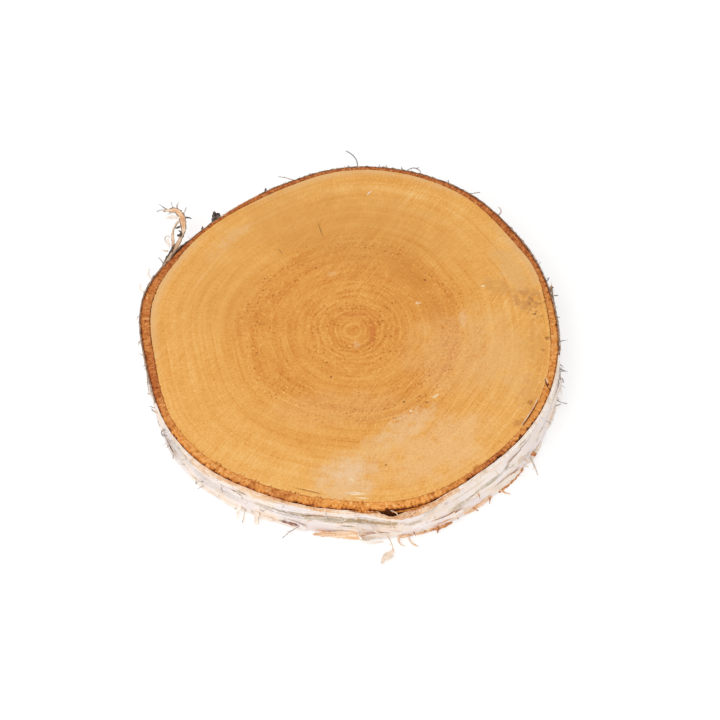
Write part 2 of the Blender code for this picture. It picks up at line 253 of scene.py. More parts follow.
def plate_faces(rows, columns):
    """Quads of a front grid and the back grid behind it, and of the edge between them, each with a number."""
    i, j = np.meshgrid(np.arange(rows - 1), np.arange(columns - 1), indexing="ij")
    corner = (i * columns + j).reshape(-1)
    front = np.stack([corner, corner + 1, corner + columns + 1, corner + columns], axis=-1)
    size = rows * columns
    grid = np.arange(size).reshape(rows, columns)
    around = np.concatenate([grid[0, :-1], grid[:-1, -1], grid[-1, :0:-1], grid[:0:-1, 0]])
    onwards = np.roll(around, -1)
    edge = np.stack([around, onwards, onwards + size, around + size], axis=-1)
    faces = np.concatenate([front, front[:, ::-1] + size, edge]).tolist()
    return faces, np.repeat((0, 1, 2), (len(front), len(front), len(edge)))


# %% [markdown]
# The serrated join
# Where the saw ran from the wood into the inner bark, it pulled short red teeth of bark over the pale wood,
# longest at the lower left. The wood and the inner bark share one line, so a single function draws the
# teeth for both: steps round the trunk, each with its own seeded length, and sharp points towards the pith.

# %% Teeth between wood and inner bark
SPOKES = 1440
TOOTH_PITCH = 1.8
TOOTH_REACH = 2.3
bearings = np.arange(SPOKES) * 360.0 / SPOKES


def join_line(bearing):
    """The radius of the line where the wood meets the inner bark."""
    lengths = np.random.default_rng(8).uniform(0.0, 1.0, 400) ** 1.5
    turn = np.radians(np.asarray(bearing, float) % 360.0)
    steps = turn * 90.0 / TOOTH_PITCH + 0.9 * np.sin(turn * 37.0) + 0.6 * np.sin(turn * 83.0)
    tooth = lengths[np.floor(steps).astype(int) % 400] * (1.0 - 2.0 * np.abs(steps % 1.0 - 0.5)) ** 2.0
    strength = 0.20 + 0.80 * hump(bearing, 238.0, 52.0)
    return wood_edge(bearing) + SEAM / 2 - TOOTH_REACH * strength * tooth


deepest = np.max(wood_edge(bearings) - join_line(bearings))
print("the join line lies up to", round(float(deepest), 2), "mm inside the wood")

# %% [markdown]
# The wood
# The wood is a disc whose two sawn faces are flat. A fan of rings fits it better than a square grid,
# because its growth rings follow the outline near the bark and turn round near the pith. Each point keeps
# two marks for the finish: how far it is from the pith along those rings, and how far from the bark.

# %% Wood shape
PITH = np.array((1.6, 0.0, 0.0))
PITH_OUT = 92.0
FACE_RINGS = 40
UNDER_RINGS = 12
SAW_RELIEF = 0.05


def wood_loops():
    """The loops of the disc from the pith, over the top, down the side and back under, with their marks."""
    shares = np.concatenate([np.linspace(0.03, 0.97, FACE_RINGS - 2), (0.99, 1.0)])
    under = np.linspace(1.0, 0.05, UNDER_RINGS)
    loops, from_pith, to_bark = [], [], []
    for share, height in [*((s, THICKNESS) for s in shares), *((s, 0.0) for s in under)]:
        rim = at(bearings, join_line(bearings), height)
        centre = at(0.0, 0.0, height) + PITH
        loop = centre + (rim - centre) * share
        far = np.linalg.norm((loop - centre)[:, :2], axis=1)
        blend = rise(share, 0.1, 0.6)
        loops.append(loop)
        from_pith.append(far * (1 - blend) + share * PITH_OUT * blend)
        to_bark.append(np.linalg.norm((rim - loop)[:, :2], axis=1))
    return np.array(loops), np.array(from_pith), np.array(to_bark)


loops, from_pith, to_bark = wood_loops()
relief = SAW_RELIEF * (wobble(loops, (3.0, 3.0, 30.0), 2) - 1.0)
loops[..., 2] += np.where(loops[..., 2] > THICKNESS / 2, relief, 0.0)
wood_faces = loop_faces(len(loops), SPOKES, False)
wood_faces += [tuple(range(SPOKES)), tuple(range((len(loops) - 1) * SPOKES, len(loops) * SPOKES))]
sawn_wood = make_piece(
    "sawn_wood",
    [skin(loops, wood_faces, from_pith_mm=from_pith, to_bark_mm=to_bark)],
    "wood",
)

# %% [markdown]
# Colours and nodes
# A finish is a tree of nodes. Colours are written as the hex values that a paint program shows, and one
# function turns them to the linear values that Blender's shaders add up. One more adds a node with its
# settings and whatever feeds it, so that each line of a finish reads as one step of it.

# %% Colour and node helpers
def linear(code):
    """An sRGB hex colour as linear red, green, blue and an alpha of 1."""
    parts = [int(code[i : i + 2], 16) / 255 for i in (1, 3, 5)]
    return (*(p / 12.92 if p <= 0.04045 else ((p + 0.055) / 1.055) ** 2.4 for p in parts), 1.0)


def add(tree, kind, settings, inputs):
    """Adds a node with its settings and inputs, by name or number, and gives back its first output."""
    node = tree.nodes.new(kind)
    for name, value in settings.items():
        if name == "stops":
            while len(node.color_ramp.elements) < len(value):
                node.color_ramp.elements.new(0.5)
            for stop, (place, code) in zip(node.color_ramp.elements, value):
                stop.position = place
                stop.color = linear(code) if isinstance(code, str) else (code, code, code, 1.0)
        else:
            setattr(node, name, value)
    for name, value in inputs.items():
        by_name = [socket for socket in node.inputs if socket.name == name and socket.enabled]
        socket = node.inputs[name] if isinstance(name, int) else by_name[0]
        if isinstance(value, bpy.types.NodeSocket):
            tree.links.new(value, socket)
        else:
            socket.default_value = linear(value) if isinstance(value, str) else value
    return next(socket for socket in node.outputs if socket.enabled)


def new_finish(name, roughness, ior, mirrored=0.5):
    """A named material whose tree holds only its shader, with its roughness, IOR and mirrored light."""
    material = bpy.data.materials.new(name)
    material.use_nodes = True
    shader = material.node_tree.nodes["Principled BSDF"]
    shader.inputs["Roughness"].default_value = roughness
    shader.inputs["IOR"].default_value = ior
    shader.inputs["Specular IOR Level"].default_value = mirrored
    return material, material.node_tree, shader


print("mid grey in linear light:", round(linear("#808080")[0], 3))

# %% [markdown]
# Places in millimetres
# Every pattern on the slice has a real size, so the finishes read their places in millimetres. The object's
# own coordinates are in metres, and one step multiplies them. Rings and rays need places that turn round
# the pith, and stains need ovals with a ragged edge, so each of those is a small function too.

# %% Coordinates for the finishes
def places(tree):
    """The place on the object in millimetres."""
    place = add(tree, "ShaderNodeTexCoord", {}, {}).node.outputs["Object"]
    return add(tree, "ShaderNodeVectorMath", {"operation": "SCALE"}, {0: place, "Scale": 1 / MM})


def spokes_and_rings(tree, place, spoke, ring, out):
    """Coordinates round the pith: a circle over a spoke's width, and the distance out over a ring's."""
    flat = add(tree, "ShaderNodeVectorMath", {"operation": "MULTIPLY"}, {0: place, 1: (1.0, 1.0, 0.0)})
    circle = add(tree, "ShaderNodeVectorMath", {"operation": "NORMALIZE"}, {0: flat})
    scaled = add(tree, "ShaderNodeVectorMath", {"operation": "SCALE"}, {0: circle, "Scale": PITH_OUT / spoke})
    outwards = add(tree, "ShaderNodeMath", {"operation": "DIVIDE"}, {0: out, 1: ring})
    lifted = add(tree, "ShaderNodeCombineXYZ", {}, {"Z": outwards})
    return add(tree, "ShaderNodeVectorMath", {"operation": "ADD"}, {0: scaled, 1: lifted})


def mark_here(tree, place, middle, half_sizes, turn, raggedness, lump):
    """1 in the middle of an oval mark and 0 outside it, with an edge made uneven by noise."""
    rough = add(tree, "ShaderNodeTexNoise", {}, {"Vector": place, "Scale": 1 / lump, "Detail": 3.0})
    rotation = (0, 0, math.radians(turn))
    inputs = {"Vector": place, "Location": middle, "Rotation": rotation, "Scale": half_sizes}
    inside = add(tree, "ShaderNodeMapping", {"vector_type": "TEXTURE"}, inputs)
    ball = add(tree, "ShaderNodeTexGradient", {"gradient_type": "SPHERICAL"}, {"Vector": inside})
    ball = ball.node.outputs["Fac"]
    uneven = {0: rough, 1: 3.0 * raggedness, 2: 1.0 - 1.5 * raggedness}
    uneven = add(tree, "ShaderNodeMath", {"operation": "MULTIPLY_ADD"}, uneven)
    edge = add(tree, "ShaderNodeMath", {"operation": "MULTIPLY"}, {0: ball, 1: uneven})
    limits = {"Value": edge, "From Min": 0.05, "From Max": 0.65}
    return add(tree, "ShaderNodeMapRange", {"interpolation_type": "SMOOTHSTEP"}, limits)


print("a millimetre of arc at the bark is", round(math.degrees(1 / PITH_OUT), 2), "degrees")

# %% [markdown]
# The wood's tones
# Sawn birch end grain, dried and left bare, is matt: wood cell walls have an IOR near 1.5, and the cut
# pores scatter the light. Its colour runs on one scale, from brown pores through orange late wood to pale
# early wood. So the finish adds up one tone from many small causes, and a single ramp turns that tone into
# colour.

# %% Sawn birch end grain: tone
birch_wood, wood_tree, wood_shader = new_finish("sawn_birch_end_grain", 0.66, 1.5, 0.25)
WOOD_RAMP = (
    (0.0, "#954f1c"), (0.20, "#bf7028"), (0.38, "#d88b39"), (0.52, "#e4a04b"), (0.68, "#eeb15f"),
    (0.84, "#f5c47e"), (1.0, "#fbdba8"),
)
wood_place = places(wood_tree)
pith_out = add(wood_tree, "ShaderNodeAttribute", {"attribute_name": "from_pith_mm"}, {}).node.outputs["Fac"]
bark_near = add(wood_tree, "ShaderNodeAttribute", {"attribute_name": "to_bark_mm"}, {}).node.outputs["Fac"]
tone_parts = []
print("the wood's tone runs over", len(WOOD_RAMP), "colours")

# %% [markdown]
# Growth rings
# Birch lays down a ring each year, 1 to 3 mm wide here, and its rings are faint because its pores are
# spread evenly. A few near the pith stand out, so those are listed by their distance from it, and the rest
# come from noise that changes fast outwards and slowly round the trunk, in three widths.

# %% Growth rings
RING_WIDTHS = ((5.2, 0.15), (2.1, 0.20), (0.7, 0.26))
for width, strength in RING_WIDTHS:
    turning = spokes_and_rings(wood_tree, wood_place, 60.0, width, pith_out)
    ring = add(wood_tree, "ShaderNodeTexNoise", {}, {"Vector": turning, "Scale": 1.0, "Detail": 1.0})
    tone_parts.append((ring, strength))
HEART_RINGS = (
    (0.000, 0.28), (0.008, 0.55), (0.017, 0.34), (0.028, 0.55), (0.040, 0.42), (0.056, 0.48), (0.066, 0.38),
    (0.080, 0.47), (0.090, 0.30), (0.102, 0.44), (0.112, 0.34), (0.126, 0.48), (0.138, 0.36), (0.152, 0.50),
    (0.164, 0.38), (0.178, 0.52), (0.190, 0.38), (0.206, 0.48), (0.222, 0.42), (0.262, 0.46), (0.300, 0.44),
    (0.355, 0.46), (0.400, 0.41), (0.455, 0.42), (0.510, 0.47), (0.580, 0.52), (0.700, 0.58), (0.850, 0.62),
    (1.000, 0.64),
)
RAMP_REACH = 100.0
SWAY, SWAY_LUMP = 7.0, 14.0
sway_noise = {"Vector": wood_place, "Scale": 1 / SWAY_LUMP, "Detail": 2.0}
shifted = add(wood_tree, "ShaderNodeTexNoise", {}, sway_noise)
swayed = add(wood_tree, "ShaderNodeMath", {"operation": "MULTIPLY_ADD"}, {0: shifted, 1: SWAY, 2: -SWAY / 2})
swayed = add(wood_tree, "ShaderNodeMath", {"operation": "ADD"}, {0: swayed, 1: pith_out})
out_share = add(wood_tree, "ShaderNodeMath", {"operation": "DIVIDE"}, {0: swayed, 1: RAMP_REACH})
listed_rings = add(wood_tree, "ShaderNodeValToRGB", {"stops": HEART_RINGS}, {"Fac": out_share})
tone_parts.append((listed_rings, 0.90))
print(len(RING_WIDTHS), "widths of ring and", len(HEART_RINGS), "listed rings")

# %% [markdown]
# Grain and saw marks
# Up close the end grain is a mottle of cut fibres about a millimetre across, with rays running out from the
# pith. The saw left fine parallel scores across it, a little over a millimetre apart, which show only in
# places. The rays of real birch are a tenth of a millimetre wide, too fine for the picture, so they are
# drawn as coarse as 0.8 mm.

# %% Grain and saw marks
MOTTLE = 0.9
RAY_WIDTH = 0.8
SAW_PITCH = 0.65
SAW_BEARING = 57.0
mottle = add(
    wood_tree, "ShaderNodeTexNoise", {},
    {"Vector": wood_place, "Scale": 1 / MOTTLE, "Detail": 3.0, "Roughness": 0.7},
)
tone_parts.append((mottle, 0.56))
blotch = add(wood_tree, "ShaderNodeTexNoise", {}, {"Vector": wood_place, "Scale": 1 / 11.0, "Detail": 3.0})
tone_parts.append((blotch, 0.20))
ray_place = spokes_and_rings(wood_tree, wood_place, RAY_WIDTH, 5.0, pith_out)
rays = add(wood_tree, "ShaderNodeTexNoise", {}, {"Vector": ray_place, "Scale": 1.0, "Detail": 1.0})
tone_parts.append((rays, 0.20))
scored = add(
    wood_tree, "ShaderNodeMapping", {"vector_type": "TEXTURE"},
    {"Vector": wood_place, "Rotation": (0, 0, math.radians(SAW_BEARING)), "Scale": (14.0, SAW_PITCH, 14.0)},
)
saw_marks = add(wood_tree, "ShaderNodeTexNoise", {}, {"Vector": scored, "Scale": 1.0, "Detail": 1.5})
where = add(wood_tree, "ShaderNodeTexNoise", {}, {"Vector": wood_place, "Scale": 1 / 38.0, "Detail": 1.0})
where = add(wood_tree, "ShaderNodeMapRange", {}, {"Value": where, "From Min": 0.44, "From Max": 0.66})
centred = add(wood_tree, "ShaderNodeMath", {"operation": "SUBTRACT"}, {0: saw_marks, 1: 0.5})
saw_tone = add(wood_tree, "ShaderNodeMath", {"operation": "MULTIPLY"}, {0: centred, 1: where})
print("saw marks", 2 * SAW_PITCH, "mm apart at", SAW_BEARING, "degrees")

# %% [markdown]
# Adding up the tone
# Each cause is noise round a half, or a ramp of greys, and its strength says how far it moves the tone. A
# loop adds them, then the saw marks, then the pores: dark dots under a millimetre, in arcs where one year's
# wood was coarser, with pale flecks of torn fibre between them. The ramp of wood colours comes last.

# %% Tone to colour
MIDDLE_TONE = 0.53
tone = MIDDLE_TONE
for part, strength in tone_parts:
    about_half = {0: part, 1: strength, 2: -strength / 2}
    centred = add(wood_tree, "ShaderNodeMath", {"operation": "MULTIPLY_ADD"}, about_half)
    tone = add(wood_tree, "ShaderNodeMath", {"operation": "ADD"}, {0: tone, 1: centred})
tone = add(wood_tree, "ShaderNodeMath", {"operation": "MULTIPLY_ADD"}, {0: saw_tone, 1: 0.42, 2: tone})
PORE_SPACING = 1.5
pores = add(wood_tree, "ShaderNodeTexVoronoi", {}, {"Vector": wood_place, "Scale": 1 / PORE_SPACING})
limits = {"Value": pores, "From Min": 0.10, "From Max": 0.42, "To Min": 1.0, "To Max": 0.0}
pores = add(wood_tree, "ShaderNodeMapRange", {}, limits)
uneven = add(wood_tree, "ShaderNodeMapRange", {}, {"Value": mottle, "From Min": 0.62, "From Max": 0.42})
pores = add(wood_tree, "ShaderNodeMath", {"operation": "MULTIPLY"}, {0: pores, 1: uneven})
arc_place = spokes_and_rings(wood_tree, wood_place, 26.0, 2.6, pith_out)
pore_arcs = add(wood_tree, "ShaderNodeTexNoise", {}, {"Vector": arc_place, "Scale": 1.0, "Detail": 1.0})
pore_arcs = add(wood_tree, "ShaderNodeMapRange", {}, {"Value": pore_arcs, "From Min": 0.46, "From Max": 0.62})
PORE_RINGS = (
    (0.00, 0.30), (0.06, 0.25), (0.085, 1.0), (0.13, 1.0), (0.16, 0.80), (0.20, 0.80),
    (0.26, 0.35), (0.34, 0.35), (0.43, 0.95), (0.50, 0.90), (0.57, 0.22), (1.0, 0.10),
)
pore_rings = add(wood_tree, "ShaderNodeValToRGB", {"stops": PORE_RINGS}, {"Fac": out_share})
pore_depth = add(wood_tree, "ShaderNodeMath", {"operation": "MULTIPLY"}, {0: pores, 1: pore_arcs})
pore_depth = add(wood_tree, "ShaderNodeMath", {"operation": "MULTIPLY"}, {0: pore_depth, 1: pore_rings})
tone = add(wood_tree, "ShaderNodeMath", {"operation": "MULTIPLY_ADD"}, {0: pore_depth, 1: -0.58, 2: tone})
FLECK_SPACING = 2.3
flecks = add(wood_tree, "ShaderNodeTexVoronoi", {}, {"Vector": wood_place, "Scale": 1 / FLECK_SPACING})
limits = {"Value": flecks, "From Min": 0.08, "From Max": 0.30, "To Min": 0.24, "To Max": 0.0}
flecks = add(wood_tree, "ShaderNodeMapRange", {}, limits)
flecks = add(wood_tree, "ShaderNodeMath", {"operation": "MULTIPLY"}, {0: flecks, 1: pore_rings})
tone = add(wood_tree, "ShaderNodeMath", {"operation": "ADD"}, {0: tone, 1: flecks})
wood_colour = add(wood_tree, "ShaderNodeValToRGB", {"stops": WOOD_RAMP}, {"Fac": tone})
print("pores", PORE_SPACING, "mm apart, in arcs, and flecks", FLECK_SPACING, "mm apart")

# %% [markdown]
# Marks on the wood
# This slice has its own marks: a redder ring round the heart, pale streaks and patches, a grey stain by the
# bark on the right with dark specks in it, two scratches, a hairline, and flecks and dots. Each is an oval
# with a ragged edge, laid over the wood in a colour of its own, so each can be moved or left out by itself.
# The mottle of the wood thins every mark in places, as it would thin a real scuff.

# %% Marks on the wood
WOOD_MARKS = (
    ("redder arc right of the heart", (10.2, -1.5), (2.2, 7.5), 0, "#cf7636", 0.70, 1.3, 1.4),
    ("redder arc above the heart", (2.0, 8.6), (8.0, 1.6), 0, "#cd7434", 0.65, 1.3, 1.4),
    ("pink fleck under the heart", (3.0, -8.0), (2.4, 3.0), 0, "#e9bd8c", 0.50, 1.2, 1.5),
    ("darker wood behind, right", (27.0, 32.0), (20.0, 11.0), -35, "#cf8538", 0.50, 1.3, 6.0),
    ("darker wood on the right", (38.0, 12.0), (7.0, 15.0), 10, "#d28b40", 0.45, 1.3, 5.0),
    ("darker wood at the back", (-8.0, 58.0), (78.0, 32.0), -8, "#d4954a", 0.50, 0.8, 9.0),
    ("darker wood at the left", (-60.0, 22.0), (30.0, 40.0), -10, "#d99b52", 0.30, 0.8, 9.0),
    ("paler wood right of the heart", (44.0, -14.0), (26.0, 30.0), 20, "#ecb97c", 0.42, 0.9, 7.0),
    ("paler wood below the heart", (-4.0, -42.0), (44.0, 14.0), 5, "#ebb674", 0.34, 0.9, 7.0),
    ("pale streak at the upper left", (-54.5, 53.0), (17.0, 4.0), 37, "#e9ba80", 0.60, 1.5, 2.4),
    ("pale smear beside it", (-60.0, 44.0), (12.0, 3.0), 42, "#e8b678", 0.45, 1.5, 2.4),
    ("pale spot behind the heart", (-8.6, 31.5), (3.0, 2.2), 0, "#ecbd84", 0.45, 1.2, 1.2),
    ("pale patch in front", (-1.0, -77.0), (21.0, 16.0), 20, "#ebc598", 0.66, 1.1, 5.0),
    ("middle of the pale patch", (0.0, -75.0), (10.0, 8.0), 35, "#eccba6", 0.50, 1.3, 3.0),
    ("pale patch further back", (10.0, -63.0), (14.0, 9.0), 30, "#eabf88", 0.45, 1.3, 3.6),
    ("pale band in front", (25.5, -50.5), (22.0, 8.0), 36, "#ecc493", 0.62, 1.4, 4.0),
    ("paler wood in front, right", (38.0, -62.0), (34.0, 21.0), 30, "#f0c28a", 0.62, 1.2, 8.0),
    ("pink patch on the right", (51.3, 6.5), (2.8, 6.0), 0, "#ebc193", 0.50, 1.7, 2.0),
    ("pale wood on the right", (66.0, -12.0), (20.0, 36.0), 12, "#e9b878", 0.55, 1.3, 8.0),
    ("pale wood behind on the right", (74.0, 34.0), (8.0, 22.0), 28, "#e2b478", 0.55, 1.3, 5.0),
    ("grey stain by the bark", (80.5, 16.5), (9.0, 9.0), -20, "#bd7d48", 0.62, 2.0, 2.4),
    ("stain reaching inwards", (68.0, 24.0), (13.0, 6.0), -20, "#cd9558", 0.50, 1.5, 3.0),
    ("brownish wood by the bark", (84.0, -8.0), (7.0, 18.0), 2, "#cd8c4a", 0.40, 2.0, 2.2),
    ("brownish wood further down", (80.0, -33.0), (7.0, 16.0), -18, "#cb8a4c", 0.38, 2.0, 2.2),
    ("brown smear", (75.0, -49.0), (5.0, 2.4), 20, "#b5733f", 0.60, 1.4, 1.5),
    ("brown spot by the bark", (79.7, -38.5), (2.4, 1.8), 60, "#a8652f", 0.70, 1.3, 1.2),
    ("brown spot on the right", (89.0, -4.4), (1.9, 1.5), 0, "#a05c28", 0.75, 1.2, 1.0),
    ("small spot below it", (86.7, -10.9), (1.2, 1.0), 0, "#a86830", 0.70, 1.0, 1.0),
    ("orange nick in front", (54.8, -72.0), (2.6, 1.4), 40, "#bd6a28", 0.80, 1.2, 1.0),
    ("long scratch", (-13.9, 56.5), (0.42, 6.2), 17, "#96602c", 0.95, 0.6, 1.0),
    ("short scratch", (-32.3, 44.0), (0.36, 3.2), 34, "#98632f", 0.85, 0.6, 1.0),
    ("hairline in front", (-17.5, -83.9), (9.5, 0.50), -15, "#9c6028", 0.85, 0.6, 1.5),
    ("cream streak", (3.4, -85.4), (5.0, 0.7), 4, "#f9e4bd", 1.00, 0.9, 1.5),
    ("second cream streak", (6.0, -87.4), (4.2, 0.5), -6, "#f9e4bd", 0.90, 0.9, 1.2),
    ("cream fleck", (1.2, -78.4), (2.4, 0.7), -30, "#f5d9ab", 0.90, 1.1, 1.2),
    ("white fleck a", (30.9, 14.9), (1.8, 1.2), 0, "#f6d9aa", 0.85, 1.3, 0.8),
    ("white fleck b", (38.0, -35.4), (3.2, 0.9), 38, "#f8dfb4", 0.85, 1.4, 0.8),
    ("white fleck c", (27.0, -43.2), (0.9, 0.7), 0, "#fbe6bf", 1.0, 0.6, 0.8),
    ("white fleck d", (60.8, 24.4), (1.3, 0.8), 0, "#f8dfb4", 1.0, 0.6, 0.8),
    ("dark dot a", (-8.4, -25.3), (0.9, 0.9), 0, "#965a2c", 1.0, 0.4, 1.0),
    ("dark dot b", (24.0, -38.5), (0.9, 0.9), 0, "#874a1e", 1.0, 0.4, 1.0),
    ("dark dot c", (34.1, -38.6), (0.7, 0.7), 0, "#925424", 1.0, 0.4, 1.0),
    ("dark dot d", (34.3, 27.8), (0.9, 1.1), 40, "#985828", 1.0, 0.4, 1.0),
    ("dark dot e", (15.8, -70.9), (0.8, 0.8), 0, "#a0602a", 1.0, 0.4, 1.0),
)
print(len(WOOD_MARKS), "marks on the wood")

# %% [markdown]
# Laying the marks over the wood
# At three stretches the wood is paler close to the bark, as its youngest ring is. That colour is mixed in
# first, by the distance to the bark. Then a loop mixes each mark over the colour so far, weaker where the
# mottle is low.

# %% Marks over the wood's colour
pale_bark_side = add(
    wood_tree, "ShaderNodeMapRange", {"interpolation_type": "SMOOTHSTEP"},
    {"Value": bark_near, "From Min": 0.0, "From Max": 5.0, "To Min": 0.62, "To Max": 0.0},
)
for x, y, half_x, half_y in ((-84.0, 22.0, 34.0, 52.0), (-10.0, 84.0, 90.0, 22.0), (76.0, 40.0, 22.0, 34.0)):
    near = mark_here(wood_tree, wood_place, (x, y, THICKNESS), (half_x, half_y, 9.0), 0, 1.2, 5.0)
    share = add(wood_tree, "ShaderNodeMath", {"operation": "MULTIPLY"}, {0: near, 1: pale_bark_side})
    wood_colour = add(
        wood_tree, "ShaderNodeMix", {"data_type": "RGBA"}, {"Factor": share, "A": wood_colour, "B": "#e3b884"}
    )
thinned = add(
    wood_tree, "ShaderNodeMapRange", {}, {"Value": mottle, "From Min": 0.34, "From Max": 0.56, "To Min": 0.45}
)
for _, (x, y), (half_x, half_y), turn, code, strength, raggedness, lump in WOOD_MARKS:
    mark = mark_here(wood_tree, wood_place, (x, y, THICKNESS), (half_x, half_y, 6.0), turn, raggedness, lump)
    share = add(wood_tree, "ShaderNodeMath", {"operation": "MULTIPLY"}, {0: mark, 1: strength})
    share = add(wood_tree, "ShaderNodeMath", {"operation": "MULTIPLY"}, {0: share, 1: thinned})
    wood_colour = add(
        wood_tree, "ShaderNodeMix", {"data_type": "RGBA"}, {"Factor": share, "A": wood_colour, "B": code}
    )
print("the wood's finish has", len(wood_tree.nodes), "nodes so far")

# %% [markdown]
# Specks in the stain, and the wood's shader
# Fungus left dark specks in the stain. They are the peaks of a fine noise, kept only inside the stain's
# oval. The same saw marks that colour the wood also raise it by a few hundredths of a millimetre, so that
# light from the side picks them out.

# %% Specks and relief
SPECK_SPACING = 1.3
speck_noise = {"Vector": wood_place, "Scale": 1 / SPECK_SPACING, "Detail": 2.0}
specks = add(wood_tree, "ShaderNodeTexNoise", {}, speck_noise)
limits = {"Value": specks, "From Min": 0.56, "From Max": 0.68, "To Max": 0.8}
specks = add(wood_tree, "ShaderNodeMapRange", {}, limits)
in_stain = mark_here(wood_tree, wood_place, (84.5, 12.0, THICKNESS), (8.0, 9.0, 6.0), 0, 1.8, 2.2)
specks = add(wood_tree, "ShaderNodeMath", {"operation": "MULTIPLY"}, {0: specks, 1: in_stain})
wood_colour = add(
    wood_tree, "ShaderNodeMix", {"data_type": "RGBA"}, {"Factor": specks, "A": wood_colour, "B": "#84583a"}
)
height = add(wood_tree, "ShaderNodeMath", {"operation": "MULTIPLY_ADD"}, {0: saw_tone, 1: 1.2, 2: blotch})
height = add(wood_tree, "ShaderNodeMath", {"operation": "MULTIPLY_ADD"}, {0: pore_depth, 1: -1.6, 2: height})
bump = add(wood_tree, "ShaderNodeBump", {}, {"Strength": 0.5, "Distance": 0.10 * MM, "Height": height})
wood_tree.links.new(wood_colour, wood_shader.inputs["Base Color"])
wood_tree.links.new(bump, wood_shader.inputs["Normal"])
sawn_wood.data.materials.append(birch_wood)
print("sawn_wood wears", birch_wood.name, "with", len(wood_tree.nodes), "nodes")

# %% [markdown]
# The inner bark
# Inner bark is soft corky tissue, so the saw tore it instead of cutting it: its sawn face is crumbly and
# its outer edge has broken away from the paper in small bites, most of them along the lower side. The ring
# follows the join line inside and the trunk's outline outside, and noise lifts and bites it. At the lower
# left, where the photograph's ring is widest, it also leans out a millimetre at the top, and the paper
# leans with it.

# %% Inner bark shape
CRUMB = 0.9
CRUMB_HEIGHT = 0.22
TOP_ROWS = np.array((0.0, 0.06, 0.14, 0.24, 0.35, 0.46, 0.57, 0.68, 0.78, 0.87, 0.94, 1.0))
WALL_ROWS = 9
# Points down the bark's side get this mark, and the finish paints them in dark shade.
SHADED_SIDE_MARK = 1.3
TOP_SWELL = 0.95


def top_swell(bearing, height):
    """How far the bark leans out at the top, at the lower left, where the photograph's ring is widest."""
    turned = np.asarray(bearing, float) % 360.0
    swell = TOP_SWELL * rise(turned, 214.0, 232.0) * (1.0 - rise(turned, 262.0, 276.0))
    return swell * rise(height, 6.0, THICKNESS)


def bite(bearing, height):
    """How far the inner bark's outer edge has crumbled away."""
    strength = 0.20 + 0.95 * hump(bearing, 250.0, 52.0) + 0.70 * hump(bearing, 318.0, 36.0)
    edge = at(bearing, inner_bark_edge(bearing), height)
    crumbled = 0.15 + 1.0 * wobble(edge, (2.4, 2.4, 4.0), 4) + 0.4 * wobble(edge, 0.8, 5)
    hollow = 0.8 * hump(bearing, 282.5, 5.5) * rise(height, THICKNESS - 3.5, THICKNESS)
    return strength * np.clip(crumbled, 0.0, 1.2) + hollow


def inner_bark_skin():
    """The ring of inner bark, with how far across it each point lies, and a higher mark down its side for its
    painted shade.
    """
    inside = join_line(bearings) + 0.03
    loops, across = [], []
    rows = [(share, THICKNESS, share) for share in TOP_ROWS]
    rows += [(1.0, height, SHADED_SIDE_MARK) for height in np.linspace(THICKNESS - 0.8, 0.5, WALL_ROWS)]
    rows += [(1.0, 0.0, 1.0), (0.5, 0.0, 0.5), (0.0, 0.0, 0.0), (0.0, THICKNESS / 2, 0.0)]
    for share, height, mark in rows:
        outside = inner_bark_edge(bearings) + top_swell(bearings, height) - bite(bearings, height)
        loops.append(at(bearings, inside + (outside - inside) * share, height))
        across.append(np.full(SPOKES, mark))
    loops = np.array(loops)
    top = loops[: len(TOP_ROWS)]
    crumbs = CRUMB_HEIGHT * (wobble(top, CRUMB, 6) + 0.6 * wobble(top, (3.5, 3.5, 9.0), 7))
    rounded = 0.45 * rise(TOP_ROWS, 0.8, 1.0)[:, None]
    top[..., 2] += crumbs * rise(TOP_ROWS, 0.0, 0.12)[:, None] - rounded
    return skin(loops, loop_faces(len(loops), SPOKES, True), across=np.array(across))


crumbled_ring = make_piece("crumbled_inner_bark", [inner_bark_skin()], "inner_bark")

# %% [markdown]
# The inner bark's finish
# Fresh inner bark of birch is red-brown, oranger where it was sawn last and dries, and darker where it
# crumbled. Cork is matt, so its roughness is high and little of the light is mirrored. Its grain runs out
# from the pith in bundles under a millimetre wide, broken into lumps, with dark stone cells like grit
# between them.

# %% Crumbled inner bark
inner_bark, bark_tree, bark_shader = new_finish("crumbled_birch_inner_bark", 0.85, 1.45, 0.2)
BUNDLE_WIDTH = 0.8
LUMP = 1.6
GRIT_SPACING = 1.9
BARK_RAMP = (
    (0.0, "#4f1b0a"), (0.22, "#7c3815"), (0.42, "#a45427"),
    (0.58, "#b96833"), (0.76, "#cf8144"), (1.0, "#eab480"),
)
ORANGE_RAMP = (
    (0.0, "#692c10"), (0.22, "#b2642a"), (0.42, "#df8e40"),
    (0.58, "#eea251"), (0.76, "#f7b971"), (1.0, "#fddba8"),
)
bark_place = places(bark_tree)
across = add(bark_tree, "ShaderNodeAttribute", {"attribute_name": "across"}, {}).node.outputs["Fac"]
span = add(bark_tree, "ShaderNodeMath", {"operation": "MULTIPLY"}, {0: across, 1: 3.5})
bundle_place = spokes_and_rings(bark_tree, bark_place, BUNDLE_WIDTH, 2.2, span)
bundles = add(bark_tree, "ShaderNodeTexNoise", {}, {"Vector": bundle_place, "Scale": 1.0, "Detail": 2.0})
crumbs = add(
    bark_tree, "ShaderNodeTexNoise", {},
    {"Vector": bark_place, "Scale": 1 / CRUMB, "Detail": 3.0, "Roughness": 0.65},
)
lumps = add(bark_tree, "ShaderNodeTexNoise", {}, {"Vector": bark_place, "Scale": 1 / LUMP, "Detail": 1.5})
grit = add(bark_tree, "ShaderNodeTexVoronoi", {}, {"Vector": bark_place, "Scale": 1 / GRIT_SPACING})
limits = {"Value": grit, "From Min": 0.12, "From Max": 0.36, "To Min": 1.0, "To Max": 0.0}
grit = add(bark_tree, "ShaderNodeMapRange", {}, limits)
bark_tone = -0.50
